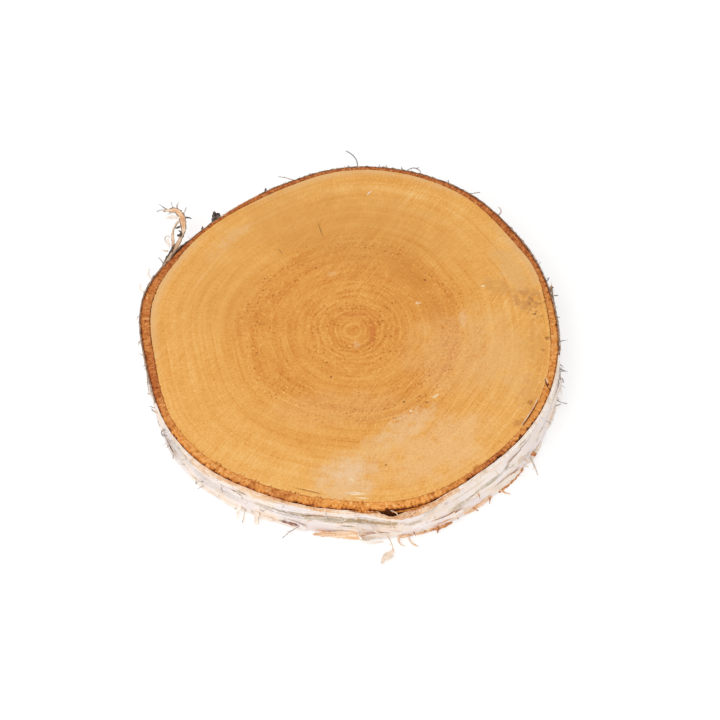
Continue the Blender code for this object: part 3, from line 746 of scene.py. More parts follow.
for part, strength in ((bundles, 0.65), (crumbs, 0.75), (lumps, 0.75)):
    bark_tone = add(
        bark_tree, "ShaderNodeMath", {"operation": "MULTIPLY_ADD"}, {0: part, 1: strength, 2: bark_tone}
    )
bark_tone = add(bark_tree, "ShaderNodeMath", {"operation": "MULTIPLY_ADD"}, {0: grit, 1: -0.20, 2: bark_tone})
for low, high, darker in ((0.72, 1.0, -0.34), (0.14, 0.0, -0.24)):
    limits = {"Value": across, "From Min": low, "From Max": high}
    near_edge = add(bark_tree, "ShaderNodeMapRange", {"interpolation_type": "SMOOTHSTEP"}, limits)
    bark_tone = add(
        bark_tree, "ShaderNodeMath", {"operation": "MULTIPLY_ADD"}, {0: near_edge, 1: darker, 2: bark_tone}
    )
red_bark = add(bark_tree, "ShaderNodeValToRGB", {"stops": BARK_RAMP}, {"Fac": bark_tone})
orange_bark = add(bark_tree, "ShaderNodeValToRGB", {"stops": ORANGE_RAMP}, {"Fac": bark_tone})
print("bundles", BUNDLE_WIDTH, "mm, lumps", LUMP, "mm and grit", GRIT_SPACING, "mm apart")

# %% [markdown]
# Where the bark is orange, where it is dark, and its painted shade
# The orange bark lies along the front and round to both sides of it, and faintly on the left. On the left
# and beside the stain, a dark broken line parts the bark from the wood. Both are ovals, like the marks on
# the wood. The bark's side, which shows only down in the cracks and gaps, is given a dark red-brown all
# round as painted shade.

# %% Orange and dark stretches
ORANGE_STRETCHES = (
    ((16.0, -96.0), (96.0, 40.0), 0, 1.0), ((88.0, -30.0), (36.0, 90.0), 0, 0.8),
    ((-66.0, -66.0), (52.0, 52.0), 0, 0.85), ((-98.0, 8.0), (28.0, 52.0), 0, 0.3),
)
orange = 0.0
for (x, y), (half_x, half_y), turn, strength in ORANGE_STRETCHES:
    mark = mark_here(bark_tree, bark_place, (x, y, THICKNESS / 2), (half_x, half_y, 30.0), turn, 0.5, 6.0)
    orange = add(
        bark_tree, "ShaderNodeMath", {"operation": "MULTIPLY_ADD"}, {0: mark, 1: strength, 2: orange}
    )
orange = add(bark_tree, "ShaderNodeClamp", {}, {0: orange})
bark_colour = add(
    bark_tree, "ShaderNodeMix", {"data_type": "RGBA"}, {"Factor": orange, "A": red_bark, "B": orange_bark}
)
limits = {"Value": across, "From Min": 0.02, "From Max": 0.16, "To Min": 1.0, "To Max": 0.0}
inner_line = add(bark_tree, "ShaderNodeMapRange", {}, limits)
dotted = add(bark_tree, "ShaderNodeTexNoise", {}, {"Vector": bark_place, "Scale": 1 / 1.1, "Detail": 2.0})
dotted = add(bark_tree, "ShaderNodeMapRange", {}, {"Value": dotted, "From Min": 0.44, "From Max": 0.54})
for x, y, reach in ((-92.0, 10.0, 34.0), (88.0, 8.0, 24.0)):
    near = mark_here(bark_tree, bark_place, (x, y, THICKNESS), (18.0, reach, 18.0), 0, 0.2, 6.0)
    dark = add(bark_tree, "ShaderNodeMath", {"operation": "MULTIPLY"}, {0: near, 1: inner_line})
    dark = add(bark_tree, "ShaderNodeMath", {"operation": "MULTIPLY"}, {0: dark, 1: dotted})
    bark_colour = add(
        bark_tree, "ShaderNodeMix", {"data_type": "RGBA"}, {"Factor": dark, "A": bark_colour, "B": "#4d2716"}
    )
# Painted shade: the bark's side, seen only down in the gaps and cracks, and the dark slivers on the face are
# given this dark red-brown.
side = add(bark_tree, "ShaderNodeMapRange", {}, {"Value": across, "From Min": 1.0, "From Max": 1.15})
bark_colour = add(
    bark_tree, "ShaderNodeMix", {"data_type": "RGBA"}, {"Factor": side, "A": bark_colour, "B": "#6d381b"}
)
bump = add(bark_tree, "ShaderNodeBump", {}, {"Strength": 0.8, "Distance": 0.25 * MM, "Height": bark_tone})
bark_tree.links.new(bark_colour, bark_shader.inputs["Base Color"])
bark_tree.links.new(bump, bark_shader.inputs["Normal"])
crumbled_ring.data.materials.append(inner_bark)
print(crumbled_ring.name, "wears", inner_bark.name)

# %% [markdown]
# The paper bark's place
# Paper bark lies close round the inner bark. In front it has come away in a blister, open at the top, and
# lower right its layers have fanned out along the foot. These are the CAD source's own formulas again, with
# finer things that a solid leaves out: layers worn thin behind, dark gaps, the blister's sudden left end,
# and the extra lean of the top.

# %% Paper bark radii
PAPER_THICKNESS = 0.9
WAVES = ((5, 0.25, 0.4), (11, 0.16, 1.9), (23, 0.10, 3.1))
BLISTER_BEARING, BLISTER_HALF_WIDTH, BLISTER_DEPTH, BLISTER_SAG = 284.5, 13.0, 2.8, 1.0
FANNED_BEARING, FANNED_HALF_WIDTH, FANNED_DEPTH = 310.0, 30.0, 1.9
TORN_BEARING, TORN_HALF_WIDTH, TORN_THINNING = 146.5, 6.5, 0.25
LAYER_THICKNESS = 0.38
THIN_BEHIND = 0.55
GAPS = ((150.0, 5.5, 0.9), (172.0, 34.0, 0.10), (273.5, 5.0, 0.25))


def solid_lift(bearing, height):
    return BLISTER_DEPTH * hump(bearing, BLISTER_BEARING, BLISTER_HALF_WIDTH) * height / THICKNESS


def full_layers(bearing):
    """1 in front, where every layer of the paper bark is left, and less behind, where it is worn thin."""
    turned = np.asarray(bearing, float) % 360.0
    front = rise(turned, 206.0, 228.0) * (1.0 - rise(turned, 344.0, 359.0))
    return THIN_BEHIND + (1.0 - THIN_BEHIND) * front


def paper_inside(bearing, height):
    """The first paper layer's inner radius, with its gaps and the blister's sudden left end."""
    turned = np.asarray(bearing, float) % 360.0
    narrower = 0.72 * rise(turned, 280.6, 285.0) + 0.28 * rise(turned, 286.0, 298.0)
    opening = rise(turned, 277.4, 279.2) * (1.0 - narrower)
    lift = np.minimum(2.9 * opening * height / THICKNESS, solid_lift(bearing, height) + 0.5)
    gap = 0.06 + sum(width * hump(bearing, middle, half) for middle, half, width in GAPS)
    return inner_bark_edge(bearing) + top_swell(bearing, height) + gap + lift


def paper_outside(bearing, height):
    """The paper bark's outer radius, with the torn stretch, the fanned foot and waves."""
    thickness = PAPER_THICKNESS - TORN_THINNING * hump(bearing, TORN_BEARING, TORN_HALF_WIDTH)
    down = 1.0 - height / THICKNESS
    fan = FANNED_DEPTH * hump(bearing, FANNED_BEARING, FANNED_HALF_WIDTH) * down
    wave = sum(size * np.sin(np.radians(times * bearing) + phase - down) for times, size, phase in WAVES)
    layers = (SEAM + thickness + np.maximum(0.0, wave)) * full_layers(bearing)
    gap = sum(width * hump(bearing, middle, half) for middle, half, width in GAPS[:2])
    moved = solid_lift(bearing, height) + top_swell(bearing, height) + fan
    return inner_bark_edge(bearing) + moved + layers + gap


widest = np.max(paper_inside(bearings, THICKNESS) - inner_bark_edge(bearings))
print("blister opens to, mm:", round(float(widest), 2))

# %% [markdown]
# Two unbroken layers
# Birch grows its paper bark in layers thinner than card. Inside is a fresh peach-coloured layer, and
# outside it the older white ones. Each is a ring of its own with a ragged top and foot, so the sawn edge
# shows real layers with a shadow between them. In front the two have split apart for a short way beside the
# blister.

# %% Paper layers' shape
FIRST_ROWS, WHITE_ROWS = 11, 40
RIM_RADIUS = 92.0
RIDGE = (9.0, 9.0, 0.8)


def ragged(seed, lump, low, high):
    """A height for each bearing that wanders between two values, with lumps of one size and finer ones."""
    round_rim = at(bearings, RIM_RADIUS, THICKNESS)
    value = 0.5 + 0.42 * wobble(round_rim, lump, seed) + 0.30 * wobble(round_rim, lump / 3.5, seed + 1)
    return low + (high - low) * np.clip(value, 0.0, 1.0)


def layer(inside, outside, top, foot, rows):
    """A ring between two radii, from a ragged foot to a ragged top: its loops, outside first."""
    shares = np.linspace(0.0, 1.0, rows)
    heights = [foot + (top - foot) * share for share in shares]
    outer = [at(bearings, outside(bearings, height), height) for height in heights]
    inner = [at(bearings, inside(bearings, height), height) for height in heights[:: -max(1, rows // 5)]]
    return np.array(outer + inner)


def first_layer_outside(bearing, height):
    return paper_inside(bearing, height) + LAYER_THICKNESS * full_layers(bearing)


def second_layer_inside(bearing, height):
    """Close behind the first layer, but for one split, and at least a fifth of a millimetre thick."""
    split = 0.45 * hump(bearing, 273.5, 4.5)
    inside = first_layer_outside(bearing, height) + 0.03 + split
    return np.minimum(inside, paper_outside(bearing, height) - 0.2)


sag = BLISTER_SAG * hump(bearings, BLISTER_BEARING, BLISTER_HALF_WIDTH)
first_loops = layer(
    paper_inside,
    first_layer_outside,
    ragged(20, 3.0, THICKNESS - 0.55, THICKNESS - 0.05) - 0.7 * sag,
    ragged(22, 4.0, 0.0, 0.9),
    FIRST_ROWS,
)
white_loops = layer(
    second_layer_inside,
    paper_outside,
    ragged(24, 2.2, THICKNESS - 0.9, THICKNESS - 0.15) - sag,
    ragged(26, 3.2, 0.0, 1.4),
    WHITE_ROWS,
)
print("layers of", len(first_loops), "and", len(white_loops), "loops")

# %% [markdown]
# Ridges on the white layer
# The white face is ridged round the trunk: fine ridges a tenth of a millimetre high, broader swells, and at
# the top a lip that rolls outwards where the paper dried. Moving each point of the outer loops along its
# own bearing gives all three. The top faces are peach in front, where the tear is fresh, cream beside that
# and at one ledge behind, and grey-brown elsewhere. A finish is a number here, and the finishes follow
# below.

# %% Ridges, lips and the ring pieces
outer = white_loops[:WHITE_ROWS]
share_up = np.linspace(0.0, 1.0, WHITE_ROWS)[:, None]
ridges = 0.10 * wobble(outer, RIDGE, 30) + 0.12 * wobble(outer, (16.0, 16.0, 4.0), 31)
ridges += 0.14 * rise(share_up, 0.93, 1.0) - 0.10 * rise(share_up, 0.97, 1.0)
ridges *= full_layers(bearings)
directions = np.stack([np.cos(np.radians(bearings)), np.sin(np.radians(bearings))], axis=-1)
outer[..., :2] += ridges[..., None] * directions
WHITE, PEACH, ORANGE, GREY, EDGE, CRUST, CREAM = range(7)
fresh_tear = (bearings > 224.0) & (bearings < 300.0)
beside_it = (bearings > 204.0) & (bearings < 352.0)
ledge_behind = abs(bearings - 126.0) < 7.0
rim_finish = np.select([fresh_tear, beside_it, ledge_behind], [PEACH, CREAM, CREAM], EDGE)
skins = []
for loops, outer_rows, own_finish in ((first_loops, FIRST_ROWS, CREAM), (white_loops, WHITE_ROWS, WHITE)):
    finishes = np.tile(rim_finish, (len(loops), 1))
    finishes[: outer_rows - 2] = own_finish
    skins.append(skin(loops, loop_faces(len(loops), SPOKES, True), finishes.reshape(-1)))
paper_layers = make_piece("paper_bark_layers", skins, "paper_bark", sharp=50)

# %% [markdown]
# White paper bark
# The white of birch bark is betulin, a waxy powder in the outer cells. It scatters light like chalk, with
# an IOR near 1.5 and a faint sheen of wax, so it is rough but not dead matt. Old layers under it weather to
# grey-olive. Long thin lines run round the trunk where layers end, with short dark lenticels, the pores it
# breathes through.

# %% White paper bark: ground and lines
white_paper, paper_tree, paper_shader = new_finish("birch_paper_bark_white", 0.60, 1.5, 0.35)
LINE_LENGTH, LINE_SPACING = 26.0, 0.75
LENTICEL = (5.0, 5.0, 1.5)
LENTICEL_GROUP = 17.0
paper_place = places(paper_tree)
drift = add(paper_tree, "ShaderNodeTexNoise", {}, {"Vector": paper_place, "Scale": 1 / 12.0, "Detail": 3.0})
paper_colour = add(
    paper_tree, "ShaderNodeValToRGB",
    {"stops": ((0.34, "#f1e4e1"), (0.46, "#f6e9e3"), (0.56, "#f9e6d4"), (0.70, "#f2d1b2"))}, {"Fac": drift},
)
stretched = {0: paper_place, 1: (LINE_LENGTH, LINE_LENGTH, LINE_SPACING)}
stretched = add(paper_tree, "ShaderNodeVectorMath", {"operation": "DIVIDE"}, stretched)
line_noise = {"Vector": stretched, "Scale": 1.0, "Detail": 3.0, "Roughness": 0.6}
lines = add(paper_tree, "ShaderNodeTexNoise", {}, line_noise)
limits = {"Value": lines, "From Min": 0.60, "From Max": 0.72, "To Max": 0.55}
line_share = add(paper_tree, "ShaderNodeMapRange", {}, limits)
limits = {"Value": lines, "From Min": 0.42, "From Max": 0.30, "To Max": 0.65}
pale_share = add(paper_tree, "ShaderNodeMapRange", {}, limits)
for share, code in ((line_share, "#bda99a"), (pale_share, "#fffafa")):
    paper_colour = add(
        paper_tree, "ShaderNodeMix", {"data_type": "RGBA"}, {"Factor": share, "A": paper_colour, "B": code}
    )
pitted = add(paper_tree, "ShaderNodeVectorMath", {"operation": "DIVIDE"}, {0: paper_place, 1: LENTICEL})
lenticels = add(paper_tree, "ShaderNodeTexVoronoi", {}, {"Vector": pitted, "Scale": 1.0})
limits = {"Value": lenticels, "From Min": 0.10, "From Max": 0.17, "To Min": 0.7, "To Max": 0.0}
lenticels = add(paper_tree, "ShaderNodeMapRange", {}, limits)
patch_noise = {"Vector": paper_place, "Scale": 1 / LENTICEL_GROUP, "Detail": 1.0}
scattered = add(paper_tree, "ShaderNodeTexNoise", {}, patch_noise)
limits = {"Value": scattered, "From Min": 0.59, "From Max": 0.67}
scattered = add(paper_tree, "ShaderNodeMapRange", {}, limits)
lenticels = add(paper_tree, "ShaderNodeMath", {"operation": "MULTIPLY"}, {0: lenticels, 1: scattered})
print("lines", LINE_SPACING, "mm apart, lenticels", LENTICEL[0], "mm long")

# %% [markdown]
# Weathered patches, with painted shade and painted light
# The wall is painted greyer at the left, as painted shade, and whiter at the right, as painted light, by wide
# faint ovals. On it lie grey-olive patches where an outer layer has gone, and a few peach or brown ones where
# a tear went deeper. Each is an oval on the bark's side, at a bearing and a height, and is mostly longer
# round the trunk than it is high. The bark's fine lines break up every one. Finer patches come from noise
# stretched the same way, so the back, which the photograph hides, is like the front.

# %% White paper bark: patches and shader
PAPER_RADIUS = 94.0
ARC = math.radians(1.0) * PAPER_RADIUS
OVAL_REACH = 1.4
WEATHER_AND_PAINTED_LIGHT = (
    # The first three rows are painted light: grey at bearings 214 and 231 is painted shade on the left of the
    # wall, and near-white at 312 is a painted light patch on the right.
    (214.0, 9.0, 12.0, 8.0, 0, "#c9bdb2", 0.55), (231.0, 10.0, 15.0, 4.5, -4, "#d0c3bb", 0.65),
    (312.0, 13.0, 17.0, 5.0, 0, "#fff5f0", 0.75), (288.8, 8.0, 5.0, 2.2, 0, "#fff6f3", 0.95),
    (294.5, 3.2, 5.5, 1.6, 0, "#d3935d", 0.95), (256.0, 12.0, 9.0, 2.2, 10, "#a98e68", 0.95),
    (247.0, 11.0, 6.0, 2.4, 4, "#c5b49e", 0.80), (300.0, 3.4, 5.0, 1.8, 0, "#ebc7a4", 0.95),
    (264.0, 12.6, 8.0, 2.4, 3, "#a58b60", 0.95), (272.0, 13.2, 9.0, 2.5, 3, "#a68b62", 0.95),
    (279.0, 13.6, 7.0, 2.2, 3, "#b3946b", 0.95), (286.0, 12.0, 4.0, 1.8, -4, "#cbb094", 0.8),
    (252.5, 11.4, 7.5, 0.5, -2, "#7d7263", 0.95), (259.0, 12.6, 4.5, 0.5, 20, "#776b58", 0.95),
    (253.5, 8.4, 10.5, 0.55, 0, "#80756a", 0.95), (269.5, 8.0, 3.4, 0.7, 0, "#85765a", 0.95),
    (276.0, 15.8, 8.0, 0.5, 2, "#8a7d68", 0.80), (290.8, 17.5, 3.4, 2.0, 0, "#cbbdaf", 0.8),
    (299.5, 9.4, 5.0, 1.8, -4, "#c0b199", 0.80), (303.5, 10.2, 3.2, 0.5, 0, "#7f725c", 0.9),
    (309.5, 11.0, 8.0, 1.3, 0, "#b0a188", 0.9), (316.0, 11.4, 3.0, 1.2, 0, "#a39378", 0.85),
    (322.5, 7.2, 4.4, 1.8, -8, "#c4b49d", 0.85), (219.0, 16.4, 8.0, 3.6, -10, "#c6c0bb", 0.80),
    (240.6, 16.0, 4.0, 0.5, -14, "#8f8480", 0.85), (226.0, 18.2, 10.0, 2.4, -4, "#e6bb93", 0.75),
    (246.0, 18.6, 9.0, 1.6, 0, "#ecc49a", 0.75), (228.0, 13.4, 6.0, 0.7, -6, "#cfc0b5", 0.7),
    (236.0, 7.0, 6.0, 1.2, -5, "#e0d1c8", 0.6), (340.0, 13.0, 14.0, 1.0, 6, "#d6c4b0", 0.7),
    (332.0, 10.0, 9.0, 0.6, 8, "#c9b5a4", 0.7), (303.0, 15.0, 16.0, 0.5, 0, "#dbc3ae", 0.7),
    (254.0, 3.2, 4.2, 1.5, 8, "#87491f", 1.0), (251.8, 3.0, 2.0, 1.0, 8, "#6a3a1c", 0.9),
)
xyz = add(paper_tree, "ShaderNodeSeparateXYZ", {}, {"Vector": paper_place}).node.outputs
worn = add(
    paper_tree, "ShaderNodeMapRange", {}, {"Value": lines, "From Min": 0.36, "From Max": 0.52, "To Min": 0.40}
)
turned = add(paper_tree, "ShaderNodeMath", {"operation": "ARCTAN2"}, {0: xyz["Y"], 1: xyz["X"]})
along = add(paper_tree, "ShaderNodeMath", {"operation": "MULTIPLY"}, {0: turned, 1: PAPER_RADIUS})
unrolled = add(paper_tree, "ShaderNodeCombineXYZ", {}, {"X": along, "Y": xyz["Z"]})
for bearing, height, half_arc, half_height, turn, code, strength in WEATHER_AND_PAINTED_LIGHT:
    middle = ((bearing - 360.0) * ARC, height, 0.0)
    half_sizes = (half_arc * OVAL_REACH, half_height * OVAL_REACH, 9.0)
    mark = mark_here(paper_tree, unrolled, middle, half_sizes, turn, 1.1, 2.0)
    share = add(paper_tree, "ShaderNodeMath", {"operation": "MULTIPLY"}, {0: mark, 1: strength})
    share = add(paper_tree, "ShaderNodeMath", {"operation": "MULTIPLY"}, {0: share, 1: worn})
    paper_colour = add(
        paper_tree, "ShaderNodeMix", {"data_type": "RGBA"}, {"Factor": share, "A": paper_colour, "B": code}
    )
FADED_PATCH = (19.0, 19.0, 2.6)
wide = add(paper_tree, "ShaderNodeVectorMath", {"operation": "DIVIDE"}, {0: paper_place, 1: FADED_PATCH})
patch_noise = {"Vector": wide, "Scale": 1.0, "Detail": 4.0, "Roughness": 0.6}
faded = add(paper_tree, "ShaderNodeTexNoise", {}, patch_noise)
limits = {"Value": faded, "From Min": 0.60, "From Max": 0.70, "To Max": 0.6}
faded = add(paper_tree, "ShaderNodeMapRange", {}, limits)
for share, code in ((faded, "#d8cabb"), (lenticels, "#7d614e")):
    paper_colour = add(
        paper_tree, "ShaderNodeMix", {"data_type": "RGBA"}, {"Factor": share, "A": paper_colour, "B": code}
    )
bump = add(paper_tree, "ShaderNodeBump", {}, {"Strength": 0.6, "Distance": 0.15 * MM, "Height": lines})
paper_tree.links.new(paper_colour, paper_shader.inputs["Base Color"])
paper_tree.links.new(bump, paper_shader.inputs["Normal"])
print(len(WEATHER_AND_PAINTED_LIGHT), "weathered patches")

# %% [markdown]
# The insides of torn layers
# A freshly torn layer is peach-coloured, because the betulin is only outside. It is as matt as card. Where
# the tear went deep it shows orange-brown, an old layer is grey, a sawn edge grey-brown, and the crusts of
# the oldest bark are as dark as cinders. All of them share one recipe: streaks or lumps between a pale and
# a dark colour.

# %% Peach, orange, grey and dark layers
def streaked(name, roughness, stops, streak):
    """A finish of streaks round the trunk, of one size in millimetres, over a ramp of colours."""
    material, tree, shader = new_finish(name, roughness, 1.45)
    place = add(tree, "ShaderNodeVectorMath", {"operation": "DIVIDE"}, {0: places(tree), 1: streak})
    pattern = {"Vector": place, "Scale": 1.0, "Detail": 4.0, "Roughness": 0.65}
    streaks = add(tree, "ShaderNodeTexNoise", {}, pattern)
    colour = add(tree, "ShaderNodeValToRGB", {"stops": stops}, {"Fac": streaks})
    relief = add(tree, "ShaderNodeBump", {}, {"Strength": 0.7, "Distance": 0.2 * MM, "Height": streaks})
    tree.links.new(colour, shader.inputs["Base Color"])
    tree.links.new(relief, shader.inputs["Normal"])
    return material


peach_paper = streaked(
    "birch_paper_bark_torn_peach", 0.75,
    ((0.30, "#c98a58"), (0.42, "#e4b183"), (0.52, "#f1cba6"), (0.66, "#fae3cb")), (7.0, 7.0, 0.9),
)
orange_paper = streaked(
    "birch_bark_torn_orange", 0.85,
    ((0.30, "#8a4a24"), (0.42, "#b8703c"), (0.55, "#d6935c"), (0.68, "#ecc096")), (3.0, 3.0, 1.0),
)
grey_paper = streaked(
    "birch_paper_bark_weathered_grey", 0.75,
    ((0.32, "#93806a"), (0.44, "#bba78e"), (0.55, "#d8c7b2"), (0.68, "#f2e8dd")), (6.0, 6.0, 0.5),
)
edge_paper = streaked(
    "birch_paper_bark_sawn_edge", 0.85,
    ((0.30, "#5f4334"), (0.44, "#8d6d58"), (0.56, "#b1937c"), (0.68, "#dcc6b0")), (2.2, 2.2, 1.2),
)
crust_bark = streaked(
    "cracked_old_birch_crust", 0.9,
    ((0.34, "#2d2420"), (0.50, "#4d413b"), (0.62, "#75665d"), (0.76, "#a39386")), (0.8, 0.8, 0.8),
)
cream_paper = streaked(
    "birch_paper_bark_peeled_cream", 0.75,
    ((0.30, "#dfc6ae"), (0.44, "#f1dfcd"), (0.56, "#faeee3"), (0.70, "#fffaf5")), (6.0, 6.0, 0.9),
)
PAPER_FINISHES = (white_paper, peach_paper, orange_paper, grey_paper, edge_paper, crust_bark, cream_paper)
for finish in PAPER_FINISHES:
    paper_layers.data.materials.append(finish)
print("finishes:", [finish.name for finish in PAPER_FINISHES])

# %% [markdown]
# Torn sheets
# The outermost layers have come loose in sheets that still grow on the bark at one end and lift at the
# other. A sheet is a front grid that follows the bark, a back grid a fraction of a millimetre behind it,
# and the edge between them. Noise makes its edges ragged and its face wavy, and the lift grows towards the
# free end.

# %% One torn sheet
SHEET_NARROWING = 0.45
SHEET_SKIN = 0.28
SHEET_MESH = 0.45


def torn_sheet(seed, grows, free, low, high, lift, front, foot_lift=0.0, narrowing=SHEET_NARROWING, jag=0.5):
    """A sheet from where it grows to its free end, between two heights, with its lifts in millimetres."""
    length = abs(free - grows) * ARC
    columns = int(max(10, min(90, length / SHEET_MESH)))
    rows = int(max(6, min(26, (high - low) / SHEET_MESH)))
    along, up = np.meshgrid(np.linspace(0.0, 1.0, columns), np.linspace(0.0, 1.0, rows), indexing="ij")
    flat = np.stack([along * length, up * (high - low), np.full(along.shape, seed * 9.0)], axis=-1)
    torn = wobble(flat, 1.3, 3) + 0.6 * wobble(flat, 0.6, 4)
    middle = (low + high) / 2
    half = (high - low) / 2 * (1.0 - narrowing * along**2)
    edge_up = np.abs(2.0 * up - 1.0) ** 4
    height = middle + (2.0 * up - 1.0) * half + jag * torn * edge_up + 0.7 * wobble(flat, 6.0, 5) * along
    height = np.clip(height, 0.05, THICKNESS + 0.4)
    bearing = grows + (free - grows) * (along + 1.4 * jag * torn / max(length, 1.0) * along**6)
    raised = 0.10 + lift * along**2 + foot_lift * (1.0 - up) ** 2 * (0.4 + 0.6 * np.sin(np.pi * along))
    raised += 0.08 * wobble(flat, (3.0, 3.0, 3.0), 6) + 0.06 * wobble(flat, (8.0, 0.9, 3.0), 7)
    thickness = SHEET_SKIN * (1.0 - 0.55 * np.maximum(edge_up, along**6))
    radius = paper_outside(bearing, height) + raised
    points = np.concatenate([
        at(bearing, radius, height).reshape(-1, 3), at(bearing, radius - thickness, height).reshape(-1, 3),
    ])
    faces, side = plate_faces(columns, rows)
    back = PEACH if 255.0 < grows < 312.0 else CREAM
    return skin(points, faces, np.where(side == 0, front, back))


trial = torn_sheet(1, 52, 34, 8.0, 14.0, 1.6, WHITE)
print("one sheet has", len(trial["faces"]), "faces")

# %% [markdown]
# The sheets of this slice
# First come the nineteen sheets of the CAD source, at the same bearings and heights. Then the torn lips
# along the foot in front, which lift at their lower edge, each listed with the finish that the tear shows.
# Last are thin flakes of older layers all round, set by a seeded rule, so the back is as layered as the
# front.

# %% All the sheets
SHEETS = (
    (6, 17, 15.5, 7.0, 2.2), (52, 34, 11.0, 6.0, 1.6), (63, 79, 14.5, 5.0, 1.3),
    (104, 90, 9.0, 7.0, 1.6), (122, 111, 14.0, 6.0, 1.6), (131, 120, 6.5, 6.0, 1.8),
    (176, 165, 8.0, 8.0, 1.5), (186, 198, 13.0, 5.5, 1.2), (205, 216, 6.0, 6.5, 1.3),
    (222, 240, 12.5, 6.5, 0.5), (249, 258, 3.6, 4.6, 1.3), (272, 260, 2.4, 3.6, 2.8),
    (268, 258, 13.0, 5.0, 1.1), (283, 273, 3.4, 4.8, 2.3), (287, 300, 4.8, 6.6, 1.2),
    (310, 320, 3.4, 5.0, 1.1), (329, 316, 13.5, 6.0, 1.2), (338, 349, 8.5, 7.0, 1.3),
    (357, 346, 4.5, 5.0, 1.7),
)
SHEET_FRONTS = {11: PEACH, 12: GREY, 13: CREAM, 15: CREAM}
FOOT_LIPS = (
    (249.4, 257.4, 0.4, 1.9, 1.2, 0.3, CREAM), (261.8, 275.0, 0.1, 2.4, 0.3, 1.5, PEACH),
    (282.4, 286.2, 0.4, 1.9, 0.1, 0.8, PEACH), (290.4, 296.4, 0.3, 2.4, 0.2, 1.2, ORANGE),
    (311.8, 321.6, 0.3, 1.6, 0.1, 0.9, ORANGE), (300.5, 309.0, 0.3, 2.6, 0.2, 0.7, PEACH),
    (242.0, 248.0, 0.2, 2.2, 0.2, 0.6, CREAM), (233.0, 240.5, 0.2, 2.2, 0.2, 0.5, CREAM),
    (323.5, 331.0, 0.2, 2.6, 0.2, 0.7, CREAM), (286.5, 291.0, 0.2, 2.0, 0.2, 0.7, PEACH),
    (336.0, 343.0, 0.2, 2.6, 0.2, 0.6, CREAM), (222.0, 230.0, 0.2, 2.2, 0.2, 0.5, CREAM),
)
FLAKES = 64
flake_draws = random.Random(41)
sheets = [
    torn_sheet(n, grows, free, middle - tall / 2, middle + tall / 2, lift, SHEET_FRONTS.get(n, WHITE))
    for n, (grows, free, middle, tall, lift) in enumerate(SHEETS)
]
for n, (start, end, low, high, lift, foot_lift, front) in enumerate(FOOT_LIPS):
    sheets.append(torn_sheet(50 + n, start, end, low, high, lift, front, foot_lift, narrowing=0.2, jag=0.6))
for n in range(FLAKES):
    grows = 360.0 * (n + flake_draws.uniform(-0.4, 0.4)) / FLAKES
    reach = flake_draws.choice((-1, 1)) * flake_draws.uniform(2.5, 11.0)
    tall = flake_draws.uniform(0.8, 4.0)
    middle = flake_draws.uniform(0.3 + tall / 2, THICKNESS - 0.8 - tall / 2)
    front = flake_draws.choice((WHITE, WHITE, WHITE, WHITE, CREAM, CREAM, WHITE))
    lift = flake_draws.uniform(0.03, 0.35)
    low = middle - tall / 2
    sheets.append(torn_sheet(100 + n, grows, grows + reach, low, middle + tall / 2, lift, front))
torn_sheets = make_piece("torn_paper_sheets", sheets, "paper_bark", sharp=50)
for finish in PAPER_FINISHES:
    torn_sheets.data.materials.append(finish)

# %% [markdown]
# The long torn strip
# One strip of bark has torn away at the upper left and stands up in a hook, with a thinner strand beside it
# that leaves an eye between the two. They follow the CAD source's strip a little more closely than a solid
# can. A ribbon runs along each path, first on its edge and then leaning over, ragged along both sides, with
# a front and a back like a sheet and a dark border. Low in front, curled flaps, tabs and a scrap like a
# leaf are ribbons too.

# %% Routes
TORN_STRIP = (
    (-90.6, 29.0, 17.2, 3.4), (-88.2, 35.0, 17.2, 4.2), (-85.4, 40.4, 17.0, 4.8),
    (-83.0, 45.4, 16.8, 4.8), (-80.8, 50.2, 16.6, 4.0), (-78.9, 55.0, 16.6, 2.8),
    (-78.0, 59.2, 16.6, 2.6), (-78.5, 63.4, 16.8, 3.5), (-79.5, 67.0, 17.0, 3.2),
    (-81.8, 69.8, 17.3, 2.6), (-84.6, 69.8, 17.5, 1.9), (-88.2, 69.5, 17.6, 0.8),
)
TORN_STRAND = (
    (-83.6, 46.6, 15.4, 2.6), (-82.7, 50.4, 15.4, 2.2), (-82.8, 54.0, 15.4, 1.6), (-83.2, 57.8, 15.4, 1.4),
    (-82.4, 61.6, 15.8, 1.4), (-80.4, 64.6, 16.2, 1.5),
)
LEAF_SCRAP = (
    (18.9, -102.2, 2.6, 0.5), (18.4, -104.0, 2.5, 2.0), (16.8, -105.6, 2.4, 3.4),
    (14.9, -107.4, 2.2, 2.6), (13.6, -109.6, 2.0, 0.6),
)
CREAM_FLAP = (
    (4.2, -96.9, 13.2, 1.2), (4.4, -97.6, 8.5, 2.2), (5.6, -98.4, 4.4, 3.2), (9.0, -98.6, 2.0, 3.0),
    (14.6, -98.2, 1.2, 1.3),
)
SECOND_FLAP = ((8.6, -96.8, 13.6, 0.8), (10.2, -97.2, 10.0, 1.6), (13.4, -97.6, 6.4, 0.8))
LEFT_TAB = ((-47.9, -81.0, 4.6, 0.9), (-48.6, -84.2, 3.2, 1.4), (-49.2, -87.5, 1.2, 0.8))
RIGHT_TAB = ((-40.2, -84.6, 4.8, 1.2), (-40.5, -87.2, 3.2, 2.0), (-40.9, -90.0, 1.2, 1.1))
print("routes:", len(TORN_STRIP), "points along the strip and", len(TORN_STRAND), "along its strand")

# %% [markdown]
# Ribbons
# Each ribbon is a smooth path with a strip swept along it. The strip turns from standing on its edge to
# lying flat, bows across its width, and is torn along both sides by noise. Its faces take three finishes,
# for the front, the back and the edge between them, and a fourth where it has a dark border.

